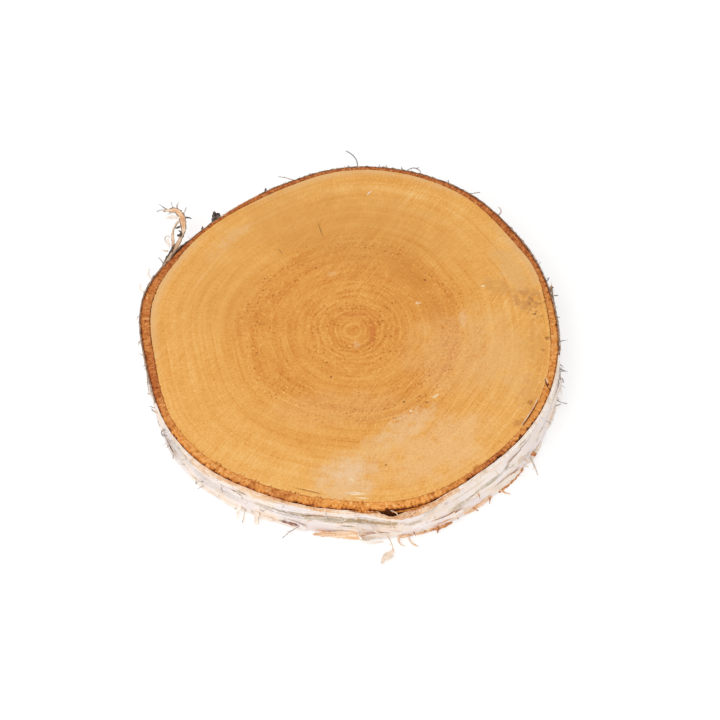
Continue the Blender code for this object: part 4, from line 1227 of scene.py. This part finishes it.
# %% Paths and ribbons
def smooth_path(points, steps):
    """Points along a smooth open curve through the given rows, in the same number of columns."""
    rows = np.array([points[0], *points, points[-1]], float)
    t = (np.arange(steps) / steps)[:, None]
    shares = (-t + 2 * t**2 - t**3, 2 - 5 * t**2 + 3 * t**3, t + 4 * t**2 - 3 * t**3, t**3 - t**2)
    path = [sum(s * rows[i + k] for k, s in enumerate(shares)) / 2 for i in range(len(points) - 1)]
    return np.concatenate([*path, rows[-1:]])


def along_and_side(centres):
    """The direction along a path at each point, and the level direction across it."""
    along = np.gradient(centres, axis=0)
    along /= np.linalg.norm(along, axis=1, keepdims=True)
    side = np.cross(along, (0.0, 0.0, 1.0))
    return along, side / np.linalg.norm(side, axis=1, keepdims=True)


def ribbon(seed, route, tilts, thickness, fronts, cup=0.15, jag=0.35, across=9, border=None):
    """A ragged ribbon along rows of x, y, height and width; at a tilt of 0 it stands, and at 90 it lies."""
    path = smooth_path(route, 6)
    centres, widths = path[:, :3], path[:, 3]
    along, side = along_and_side(centres)
    tilt = np.radians(np.interp(np.linspace(0, 1, len(path)), np.linspace(0, 1, len(tilts)), tilts))[:, None]
    up = np.cross(side, along)
    width_way = up * np.cos(tilt) + side * np.sin(tilt)
    out_way = side * np.cos(tilt) - up * np.sin(tilt)
    spread = np.linspace(-1.0, 1.0, across)
    spots = centres[:, None] + width_way[:, None] * (widths[:, None] / 2 * spread)[..., None]
    torn = wobble(spots, 1.1, seed) + 0.6 * wobble(spots, 0.5, seed + 1)
    spots = spots + width_way[:, None] * (jag * torn * np.sign(spread) * np.abs(spread) ** 5)[..., None]
    bow = cup * widths[:, None] * (1.0 - spread**2) + 0.15 * wobble(spots, 1.6, seed + 2)
    spots = spots + out_way[:, None] * bow[..., None]
    half = out_way[:, None] * (thickness / 2 * (1.0 - 0.6 * np.abs(spread) ** 4))[None, :, None]
    points = np.concatenate([(spots + half).reshape(-1, 3), (spots - half).reshape(-1, 3)])
    faces, part = plate_faces(len(path), across)
    finishes = np.asarray(fronts)[part]
    if border is not None:
        column = np.array([min(face) % across for face in faces])
        finishes[(part < 2) & ((column == 0) | (column == across - 2))] = border
    return skin(points, faces, finishes)


strips = [
    ribbon(
        60, TORN_STRIP, (20, 35, 50, 60, 64, 66), 0.5, (PEACH, PEACH, EDGE), cup=0.12, across=7, border=EDGE,
    ),
    ribbon(64, TORN_STRAND, (30, 45, 60), 0.5, (PEACH, PEACH, EDGE), border=EDGE),
    ribbon(68, LEAF_SCRAP, (84, 86, 88), 0.3, (CREAM, CREAM, GREY), cup=0.08, jag=0.4),
    ribbon(44, CREAM_FLAP, (60, 60, 50, 30, 20), 0.35, (CREAM, CREAM, CREAM), cup=0.3, jag=0.3),
    ribbon(47, SECOND_FLAP, (60, 55, 50), 0.3, (CREAM, CREAM, CREAM), cup=0.3, jag=0.2),
    ribbon(51, LEFT_TAB, (75, 80, 80), 0.3, (CREAM, CREAM, CREAM), cup=0.2, jag=0.2, across=7),
    ribbon(54, RIGHT_TAB, (75, 80, 80), 0.3, (CREAM, CREAM, CREAM), cup=0.2, jag=0.2, across=7),
]
print("ribbons:", [len(strip["points"]) for strip in strips])

# %% [markdown]
# Flakes that hang on the strip, and slivers on the face
# Small scraps cling to the strip, a pale ledge lies behind it, and torn shreds half fill the blister. Some
# slivers lie on the sawn face, where the saw lifted them: a peach one between wood and bark on the right,
# with a dark one of inner bark beside it, a splinter at a crack, with a dark sliver laid along it as the
# crack's painted shade, and cream chips in front and behind. Both dark ones wear the bark side's painted
# shade. All are ribbons from a few points each.

# %% Flakes and slivers
def beside(line, start, end, offset, height, widths):
    """Rows for a ribbon that follows a line round the trunk, some way outside it."""
    turned = np.linspace(start, end, len(widths))
    spots = at(turned, line(turned) + offset, height)
    return tuple((*spot, width) for spot, width in zip(spots.tolist(), widths))


BARK = len(PAPER_FINISHES)
PALE_LEDGE = (
    (-62.6, 63.4, 19.1, 0.4), (-59.0, 65.8, 19.2, 1.5), (-55.0, 68.3, 19.2, 1.4), (-50.8, 70.4, 19.1, 0.4),
)
DARK_HOOK = (
    (-80.2, 58.4, 16.8, 0.5), (-79.0, 56.8, 17.3, 1.0), (-79.5, 55.2, 17.6, 1.5), (-80.8, 55.4, 17.4, 0.9),
)
SCRAPS = (
    (beside(inner_bark_edge, 281.0, 293.0, 0.6, 19.1, (0.3, 1.0, 1.3, 1.1, 0.3)), 70, BARK),
    (beside(inner_bark_edge, 282.5, 291.0, 1.6, 18.3, (0.3, 1.2, 1.5, 1.1, 0.3)), 60, ORANGE),
    (beside(inner_bark_edge, 269.8, 277.6, 0.7, 19.7, (0.2, 0.6, 0.9, 0.6, 0.2)), 80, BARK),
    (PALE_LEDGE, 84, CREAM),
    (((-80.2, 65.6, 17.0, 0.8), (-83.0, 65.8, 17.6, 2.0), (-86.4, 65.2, 17.9, 0.8)), 70, CREAM),
    (((-77.4, 66.2, 17.0, 1.0), (-76.4, 65.8, 17.2, 1.1), (-74.6, 65.0, 17.4, 0.4)), 60, CRUST),
    (DARK_HOOK, 70, CRUST),
    (((-79.6, 61.0, 17.2, 0.5), (-80.6, 60.2, 17.0, 0.9), (-81.9, 60.0, 16.6, 0.5)), 60, CRUST),
    (((-84.2, 49.0, 16.6, 0.8), (-85.0, 51.6, 16.8, 1.5), (-84.8, 54.6, 16.6, 0.8)), 60, CREAM),
    (((-85.8, 40.6, 17.9, 0.5), (-83.6, 45.2, 17.9, 1.1), (-81.9, 49.8, 17.7, 0.5)), 70, CRUST),
    (((17.6, -93.6, 20.1, 0.3), (19.8, -94.6, 20.1, 0.5), (21.4, -96.9, 19.6, 0.4)), 70, PEACH),
    (((22.4, -97.0, 19.3, 0.3), (23.2, -95.2, 19.7, 0.5), (26.4, -93.4, 20.0, 0.3)), 70, PEACH),
    (((-91.4, 31.0, 15.8, 0.4), (-93.2, 33.6, 16.2, 1.2), (-92.8, 36.8, 16.4, 0.5)), 40, CREAM),
    (((-95.0, 24.0, 15.0, 0.4), (-96.6, 26.0, 15.6, 1.0), (-96.4, 28.6, 15.8, 0.4)), 40, CREAM),
    (((19.4, -97.4, 19.2, 0.6), (23.0, -97.0, 19.2, 1.0), (27.4, -94.6, 19.3, 0.5)), 60, PEACH),
    (((14.2, -95.2, 19.4, 0.5), (17.6, -96.4, 19.0, 0.9), (20.6, -97.2, 18.8, 0.5)), 50, PEACH),
)
SLIVERS = (
    (beside(join_line, 325.8, 336.2, -0.7, 20.12, (0.2, 0.45, 0.6, 0.5, 0.2)), 88, PEACH),
    (beside(join_line, 326.4, 335.4, -0.05, 20.12, (0.2, 0.4, 0.45, 0.4, 0.2)), 88, BARK),
    (((87.0, -25.6, 20.15, 0.4), (87.6, -27.2, 20.3, 0.8), (87.9, -28.6, 20.2, 0.3)), 80, PEACH),
    (((86.9, -26.6, 20.1, 0.3), (87.9, -29.4, 20.2, 1.2), (88.9, -32.6, 20.1, 0.3)), 85, BARK),
    (((8.0, 77.0, 20.02, 0.2), (9.0, 78.4, 20.10, 0.6), (10.2, 79.2, 20.02, 0.2)), 88, CREAM),
    (((-1.6, -85.2, 20.04, 0.2), (1.6, -84.5, 20.10, 0.6), (4.8, -84.8, 20.04, 0.2)), 88, CREAM),
)
for n, (route, tilt, front) in enumerate(SCRAPS):
    strips.append(ribbon(72 + 3 * n, route, (tilt, tilt + 10), 0.3, (front, front, front), jag=0.2, across=7))
torn_strip = make_piece("long_torn_strip", strips, "paper_bark", sharp=60)
slivers = [
    ribbon(90 + 3 * n, route, (tilt, tilt), 0.12, (front, front, front), cup=0.05, jag=0.12, across=5)
    for n, (route, tilt, front) in enumerate(SLIVERS)
]
# The slivers take the side's mark, so the dark ones of inner bark wear its painted shade.
for sliver in slivers:
    sliver["marks"]["across"] = np.full(len(sliver["points"]), SHADED_SIDE_MARK)
face_slivers = make_piece("slivers_on_the_face", slivers, "inner_bark", sharp=60)
for finish in (*PAPER_FINISHES, inner_bark):
    torn_strip.data.materials.append(finish)
    face_slivers.data.materials.append(finish)

# %% [markdown]
# Curls and fibres
# Single fibres of bark stand out all round, most of them curled, many forked. Each grows from a root sunk
# in the paper bark and swings round on an even bend, tapering to its tip. Its section is an oval that turns
# along the fibre, since a dry strip of bark twists. A warmth mark says how grey or how peach it is.

# %% One fibre
ROOT_DEPTH = 0.55
FIBRE_SIDES = 6
LOWEST_FIBRE, HIGHEST_FIBRE = 0.4, 24.0


def curl_path(bearing, height, length, lean, turn, climb, stations=15):
    """Where a fibre goes from its root, swinging round on an even bend as it leaves the bark."""
    share = (np.arange(stations - 1) + 0.5) / (stations - 1)
    heading = np.radians(bearing + lean + turn * np.clip((4.0 * share - 0.5) / 3.0, 0.0, 1.0))
    slope = np.radians(climb) * (share > 0.25)
    level = np.cos(slope)
    steps = np.stack([np.cos(heading) * level, np.sin(heading) * level, np.sin(slope)], axis=-1)
    root = at(bearing, paper_outside(bearing, height) - ROOT_DEPTH, height)
    walked = np.concatenate([np.zeros((1, 3)), np.cumsum(steps, axis=0)])
    path = root + walked * (length + ROOT_DEPTH) / (stations - 1)
    path[:, 2] = np.clip(path[:, 2], LOWEST_FIBRE, HIGHEST_FIBRE)
    return path


def fibre(seed, path, root, tip, warmth, flatness=0.45, twist=120.0):
    """A tapering fibre along a path, oval in section, with a wrinkled skin."""
    wander = np.stack([wobble(path, 1.8, seed + k) for k in range(3)], axis=-1)
    path = path + 0.10 * wander * np.linspace(0, 1, len(path))[:, None]
    path[:, 2] = np.maximum(path[:, 2], LOWEST_FIBRE)
    along, side = along_and_side(path)
    up = np.cross(side, along)
    share = np.linspace(0.0, 1.0, len(path))
    size = (root + (tip - root) * share) / 2 * (1.0 + 0.18 * wobble(path, 0.8, seed + 3))
    size *= 1.0 - 0.85 * rise(share, 0.93, 1.0)
    turn = np.radians(twist) * share + seed
    wide = side * np.cos(turn)[:, None] + up * np.sin(turn)[:, None]
    thin = up * np.cos(turn)[:, None] - side * np.sin(turn)[:, None]
    corners = np.arange(FIBRE_SIDES) * 2.0 * np.pi / FIBRE_SIDES
    points = path[:, None] + size[:, None, None] * (
        wide[:, None] * np.cos(corners)[:, None] + thin[:, None] * np.sin(corners)[:, None] * flatness
    )
    faces = loop_faces(len(path), FIBRE_SIDES, False)
    count = len(path) * FIBRE_SIDES
    faces += [tuple(range(FIBRE_SIDES)), tuple(range(count - FIBRE_SIDES, count))]
    return skin(points, faces, warmth=warmth)


print("a trial fibre has", len(fibre(1, curl_path(20, 18, 5, 20, 60, 5), 0.7, 0.3, 0.5)["faces"]), "faces")

# %% [markdown]
# The curls of this slice
# The listed curls are the CAD source's, but for one behind that is bent further, as (bearing, height,
# length, lean, turn, climb). The frayed ends of the strip follow their own points, because they are seen
# from close by. Some curls are thicker than the rest, and seven have a warmth of their own, both listed by
# bearing.

# %% Curls and frayed ends
CURLS = (
    (4, 14.0, 2.4, 60, 0, 0), (13, 17.0, 3.3, -8, 0, 0), (14, 18.6, 2.5, 26, 0, 5),
    (17, 18.4, 3.0, 43, 0, 5), (23, 19.0, 1.8, 31, 0, 15), (31, 17.4, 3.2, 66, 0, 10),
    (34, 17.2, 2.2, 41, 0, 10), (37, 18.0, 2.6, 52, 0, 10), (44, 19.0, 5.6, -31, 128, 8),
    (55, 19.0, 5.8, -56, 6, 10), (61, 18.8, 2.2, 35, 0, 15), (74, 19.0, 9.8, -26, -128, 5),
    (75, 18.8, 2.2, 28, 0, 15), (79, 19.0, 2.0, 45, 0, 15), (82, 19.0, 1.8, -10, 0, 15),
    (88, 19.2, 11.2, 2, 66, 10), (91, 19.0, 1.5, -20, 0, 15), (103, 19.0, 1.9, -45, 0, 15),
    (107, 19.0, 8.0, 45, 28, 6), (141, 18.6, 2.2, -63, 0, 10), (157, 18.4, 5.6, -50, 30, 8),
    (158, 18.0, 5.3, -66, -26, 8), (163, 17.0, 5.1, -59, -40, 3), (166, 16.3, 2.1, -9, 0, 5),
    (178, 8.0, 4.4, 10, 120, 0), (190, 17.0, 1.5, 42, 0, 0), (200, 17.0, 2.4, -14, 0, 0),
    (206, 15.5, 4.1, -42, -40, 0), (211, 14.4, 6.0, -17, 180, 0), (213, 12.6, 5.4, 60, -29, 0),
    (216, 10.0, 4.8, 41, 0, 0), (220, 6.3, 1.5, -29, 0, 0), (224, 1.8, 2.1, 42, 0, 0),
    (227, 2.1, 3.0, -17, 0, 0), (239, 1.6, 3.2, -41, 0, 0), (240, 1.8, 7.1, 24, -4, 0),
    (244, 3.0, 5.5, 27, 0, -6), (257, 3.4, 11.0, -50, 15, -6), (279, 2.6, 8.6, 23, -25, 0),
    (284, 2.0, 9.4, -84, 146, 0), (285, 2.0, 8.3, -24, 81, 0), (286, 3.4, 2.2, 8, 0, 0),
    (293, 1.8, 4.0, -24, -12, 0), (296, 1.8, 3.5, -27, -119, 0), (299, 1.6, 1.7, -47, 0, 0),
    (303, 1.8, 3.0, 27, 0, 0), (309, 2.0, 4.1, -29, -24, 0), (312, 2.0, 5.8, 13, 19, 0),
    (322, 2.2, 2.4, 13, 0, 0), (325, 3.0, 10.0, -30, -10, -6), (326, 3.0, 3.4, 65, 0, 8),
    (338, 2.4, 2.1, -58, 0, 0), (342, 2.8, 3.6, 48, -6, 0), (345, 2.6, 5.5, -31, 38, 0),
    (349, 8.3, 4.0, 32, -136, 0), (349.5, 11.5, 3.4, 50, -40, 0), (350, 14.0, 4.0, -15, 0, 0),
)
FRAYED_ENDS = (
    ((-86.0, 70.0, 17.5), (-88.0, 71.4, 17.8), (-90.4, 73.2, 18.0)),
    ((-87.0, 69.8, 17.5), (-89.2, 69.9, 17.6), (-91.2, 68.8, 17.6)),
    ((-81.8, 70.4, 17.2), (-83.8, 72.0, 17.8), (-84.4, 74.4, 18.0)),
    ((-81.4, 70.8, 17.2), (-81.6, 72.6, 17.8), (-80.8, 74.2, 18.2)),
    ((-78.4, 68.4, 17.0), (-77.6, 69.8, 17.6), (-77.2, 71.4, 18.0)),
    ((-82.4, 69.2, 17.0), (-84.4, 68.6, 17.0), (-86.0, 67.8, 16.8)),
    ((-84.0, 51.4, 15.6), (-86.0, 52.6, 15.8), (-86.6, 54.8, 15.8), (-85.2, 56.2, 15.8), (-83.8, 55.2, 15.6)),
    ((-84.6, 47.0, 16.4), (-86.4, 46.8, 16.6), (-87.6, 47.4, 16.8)),
)
CURL_ROOT, CURL_TIP = 1.05, 0.50
TWIG_STATIONS, TWIG_REACH = 9, 0.32
THICK_CURLS = {
    284: 1.4, 285: 1.35, 257: 0.8, 44: 1.2, 107: 1.15, 88: 1.15, 206: 1.3, 211: 1.35, 213: 1.3, 200: 1.3,
}
OWN_WARMTH = {239: 0.42, 240: 0.40, 244: 0.44, 257: 0.20, 279: 0.50, 284: 0.60, 285: 0.56}
print(len(CURLS), "curls and", len(FRAYED_ENDS), "frayed ends")

# %% [markdown]
# Growing the listed fibres
# Fibres low in front are peach or brown, and those behind and on the left are grey. One formula of bearing
# and height gives that, with a seeded draw for each, but for seven whose warmth is listed. Most of the
# longer curls fork half way: a thinner twig starts along the curl's own direction and swings away from it.

# %% Curls and forks
draws = random.Random(77)


def warmth_at(bearing, height):
    """How warm a fibre's colour is: grey behind and on the left, peach low in front."""
    low_in_front = float(hump(bearing, 292.0, 62.0)) * (1.0 - height / (1.6 * THICKNESS))
    return min(1.0, max(0.0, 0.12 + 0.78 * low_in_front + draws.uniform(-0.12, 0.22)))


fibres = []
for n, (bearing, height, length, lean, turn, climb) in enumerate(CURLS):
    path = curl_path(bearing, height, length, lean, turn, climb)
    warmth = OWN_WARMTH.get(bearing, warmth_at(bearing, height))
    thicker = THICK_CURLS.get(bearing, 1.0)
    fibres.append(fibre(200 + 5 * n, path, CURL_ROOT * thicker, CURL_TIP * thicker, warmth))
    if length > 2.9 and n % 5 != 0:
        fork = draws.choice((-1, 1)) * draws.uniform(25, 60)
        start = len(path) // 2
        share = np.linspace(0.0, 1.0, TWIG_STATIONS)[:, None]
        out = share * (path[start + 1] - path[start]) * TWIG_REACH * length
        swing = np.radians(fork) * share
        twig = path[start] + np.concatenate([
            out[:, :1] * np.cos(swing) - out[:, 1:2] * np.sin(swing),
            out[:, :1] * np.sin(swing) + out[:, 1:2] * np.cos(swing), out[:, 2:],
        ], axis=1)
        fibres.append(fibre(201 + 5 * n, twig, 0.5, 0.25, warmth))
for n, route in enumerate(FRAYED_ENDS):
    fibres.append(fibre(600 + 5 * n, smooth_path(route, 6), 0.85, 0.45, 0.10 + 0.05 * n))
print(len(fibres), "listed fibres and forks")

# %% [markdown]
# Finer fibres
# The CAD source's rule gives sixty fibres at even bearings, each nudged and drawn with a fixed seed. Finer
# fuzz, which no solid needs, grows from the sawn edge and from the foot, where the saw tore the paper,
# about a third of a millimetre thick.

# %% Fibres by rule
FIBRES = 60
FIBRE_SEED = 11
FUZZ = 300
FUZZ_STATIONS = 8


def fibre_draws():
    """The CAD source's rule for the finer fibres."""
    rule = random.Random(FIBRE_SEED)
    for i in range(FIBRES):
        bearing = 360.0 * (i + rule.uniform(-0.35, 0.35)) / FIBRES
        height = rule.uniform(1.5, THICKNESS - 1.2)
        length = rule.uniform(1.8, 4.5)
        lean = rule.choice((-1, 1)) * rule.uniform(5, 55)
        turn = rule.choice((-1, 1)) * rule.uniform(10, 110)
        climb = rule.uniform(-18, 22)
        yield bearing, height, length, lean, turn, climb


for n, draw in enumerate(fibre_draws()):
    fibres.append(fibre(800 + 5 * n, curl_path(*draw, 12), 0.65, 0.28, warmth_at(draw[0], draw[1])))
for n in range(FUZZ):
    bearing = draws.uniform(0.0, 360.0)
    height = draws.choice((draws.uniform(18.2, 19.4), draws.uniform(0.8, 3.0), draws.uniform(2.0, 18.0)))
    lean = draws.uniform(-70, 70)
    length = draws.uniform(0.5, 2.4)
    turn = draws.uniform(-90, 90)
    climb = draws.uniform(-15, 30)
    path = curl_path(bearing, height, length, lean, turn, climb, FUZZ_STATIONS)
    fibres.append(fibre(1200 + 5 * n, path, draws.uniform(0.22, 0.42), 0.12, warmth_at(bearing, height)))
bark_fibres = make_piece("bark_fibres", fibres, "paper_bark", sharp=60)

# %% [markdown]
# The fibres' finish
# A dry bark fibre is a strip of the same cork, so it is as matt as the torn layers. Its colour comes from
# the warmth mark through a ramp from grey through peach to brown, with a little noise so that no fibre is
# even.

# %% Fibre finish
fibre_finish, fibre_tree, fibre_shader = new_finish("dry_birch_bark_fibre", 0.8, 1.45)
warm = add(fibre_tree, "ShaderNodeAttribute", {"attribute_name": "warmth"}, {}).node.outputs["Fac"]
FLECK = 1.6
fleck_noise = {"Vector": places(fibre_tree), "Scale": 1 / FLECK, "Detail": 2.0}
fleck = add(fibre_tree, "ShaderNodeTexNoise", {}, fleck_noise)
warm = add(fibre_tree, "ShaderNodeMath", {"operation": "ADD"}, {0: warm, 1: fleck})
warm = add(fibre_tree, "ShaderNodeMath", {"operation": "SUBTRACT"}, {0: warm, 1: 0.5})
FIBRE_RAMP = (
    (0.0, "#9a9493"), (0.18, "#b5adaa"), (0.32, "#d0c3b8"),
    (0.50, "#ead0b6"), (0.68, "#dfa877"), (0.88, "#b36c3b"),
)
fibre_colour = add(fibre_tree, "ShaderNodeValToRGB", {"stops": FIBRE_RAMP}, {"Fac": warm})
fibre_tree.links.new(fibre_colour, fibre_shader.inputs["Base Color"])
bark_fibres.data.materials.append(fibre_finish)
print("fibres wear", fibre_finish.name)

# %% [markdown]
# Dark crusts
# At four places behind, on the left, lumps of old outer bark stand up, nearly black and cracked like
# cinders. A brown one stands on the right, and an orange one by the foot in front of it. Each is a thick
# rough stub of a few lumps, made as a short fat fibre whose skin is pushed about by coarse noise.

# %% Crusts
CRUSTS = (
    (136, 18.8, 5.6, -46, 2.3, 12, CRUST), (134.9, 18.8, 3.8, -50, 2.6, 8, CRUST),
    (117, 18.8, 2.2, -27, 1.3, 10, CRUST), (141, 18.9, 2.6, -58, 0.9, 10, CRUST),
    (14, 18.8, 2.2, 40, 2.4, 10, EDGE), (326, 3.4, 2.0, 0, 2.6, 10, ORANGE),
)
CRUST_STATIONS, CRUST_SIDES = 16, 14
crusts = []
for n, (bearing, height, length, lean, width, climb, own_finish) in enumerate(CRUSTS):
    path = curl_path(bearing, height, length, lean, 0, climb, CRUST_STATIONS)
    along, side = along_and_side(path)
    up = np.cross(side, along)
    corners = np.arange(CRUST_SIDES) * 2.0 * np.pi / CRUST_SIDES
    share = np.linspace(0.0, 1.0, CRUST_STATIONS)
    size = width / 2 * (1.0 - 0.35 * share) * (1.0 - 0.9 * rise(share, 0.9, 1.0))
    ring = side[:, None] * np.cos(corners)[:, None] + up[:, None] * np.sin(corners)[:, None] * 0.7
    points = path[:, None] + ring * size[:, None, None]
    push = 0.45 * wobble(points, 0.8, 140 + n) + 0.25 * wobble(points, 0.35, 150 + n)
    points += ring * (size[:, None] * push)[..., None]
    points[..., 2] = np.maximum(points[..., 2], 0.1)
    faces = loop_faces(CRUST_STATIONS, CRUST_SIDES, False)
    count = CRUST_STATIONS * CRUST_SIDES
    faces += [tuple(range(CRUST_SIDES)), tuple(range(count - CRUST_SIDES, count))]
    crusts.append(skin(points, faces, own_finish))
old_crusts = make_piece("old_bark_crusts", crusts, "paper_bark", sharp=35)
for finish in PAPER_FINISHES:
    old_crusts.data.materials.append(finish)
print(len(CRUSTS), "crusts, most of them in", crust_bark.name)

# %% [markdown]
# The floor
# The photograph was taken on a white ground where hardly a shadow shows. A white floor that glows, like a
# lit table, does the same: half its brightness is its own, so what the slice shades off it is hardly seen.

# %% Floor
FLOOR_SIDE = 6000
floor_mesh = bpy.data.meshes.new("pale_floor")
half = FLOOR_SIDE * MM / 2
corners = [(x * half, y * half, -0.02 * MM) for x, y in ((-1, -1), (1, -1), (1, 1), (-1, 1))]
floor_mesh.from_pydata(corners, [], [(0, 1, 2, 3)])
floor = bpy.data.objects.new("pale_floor", floor_mesh)
bpy.context.scene.collection.objects.link(floor)
floor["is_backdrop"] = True
floor_finish, _, floor_shader = new_finish("white_matt_lit_table", 0.9, 1.45, 0.0)
floor_shader.inputs["Base Color"].default_value = linear("#bebebe")
floor_shader.inputs["Emission Color"].default_value = linear("#ffffff")
floor_shader.inputs["Emission Strength"].default_value = 0.54
floor_mesh.materials.append(floor_finish)
print("floor side, mm:", FLOOR_SIDE)

# %% [markdown]
# Soft studio light
# The light comes from all round. A white sky gives most of it, one large soft lamp stands above the camera
# on the left and draws out the relief, and a weaker one lights the bark in front from lower down.

# %% Light
scene = bpy.context.scene
scene.view_settings.view_transform = "Standard"
sky = bpy.data.worlds.new("soft_white_studio")
sky.use_nodes = True
sky.node_tree.nodes["Background"].inputs["Color"].default_value = (1.0, 1.0, 1.0, 1.0)
sky.node_tree.nodes["Background"].inputs["Strength"].default_value = 0.66
scene.world = sky
LAMPS = (
    ("key_lamp", (-560, -500, 1400), 1100, 10.0),
    ("front_lamp", (150, -1500, 450), 900, 2.0),
)
for name, place, side, watts in LAMPS:
    lamp = bpy.data.lights.new(name, "AREA")
    lamp.shape = "SQUARE"
    lamp.size = side * MM
    lamp.energy = watts
    holder = bpy.data.objects.new(name, lamp)
    scene.collection.objects.link(holder)
    holder.location = Vector(place) * MM
    holder.rotation_euler = (LOOK_AT - holder.location).to_track_quat("-Z", "Y").to_euler()
    print(name, watts, "W")

# %% [markdown]
# The dressed slice may not be larger than its solids, apart from the little that loose fibres stand proud.
# The two boxes are gathered side by side.

# %% Size and finish
boxes = {"cad": CAD_BOX, "visual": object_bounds()}
{name: [[float(v) for v in corner] for corner in box] for name, box in boxes.items()}
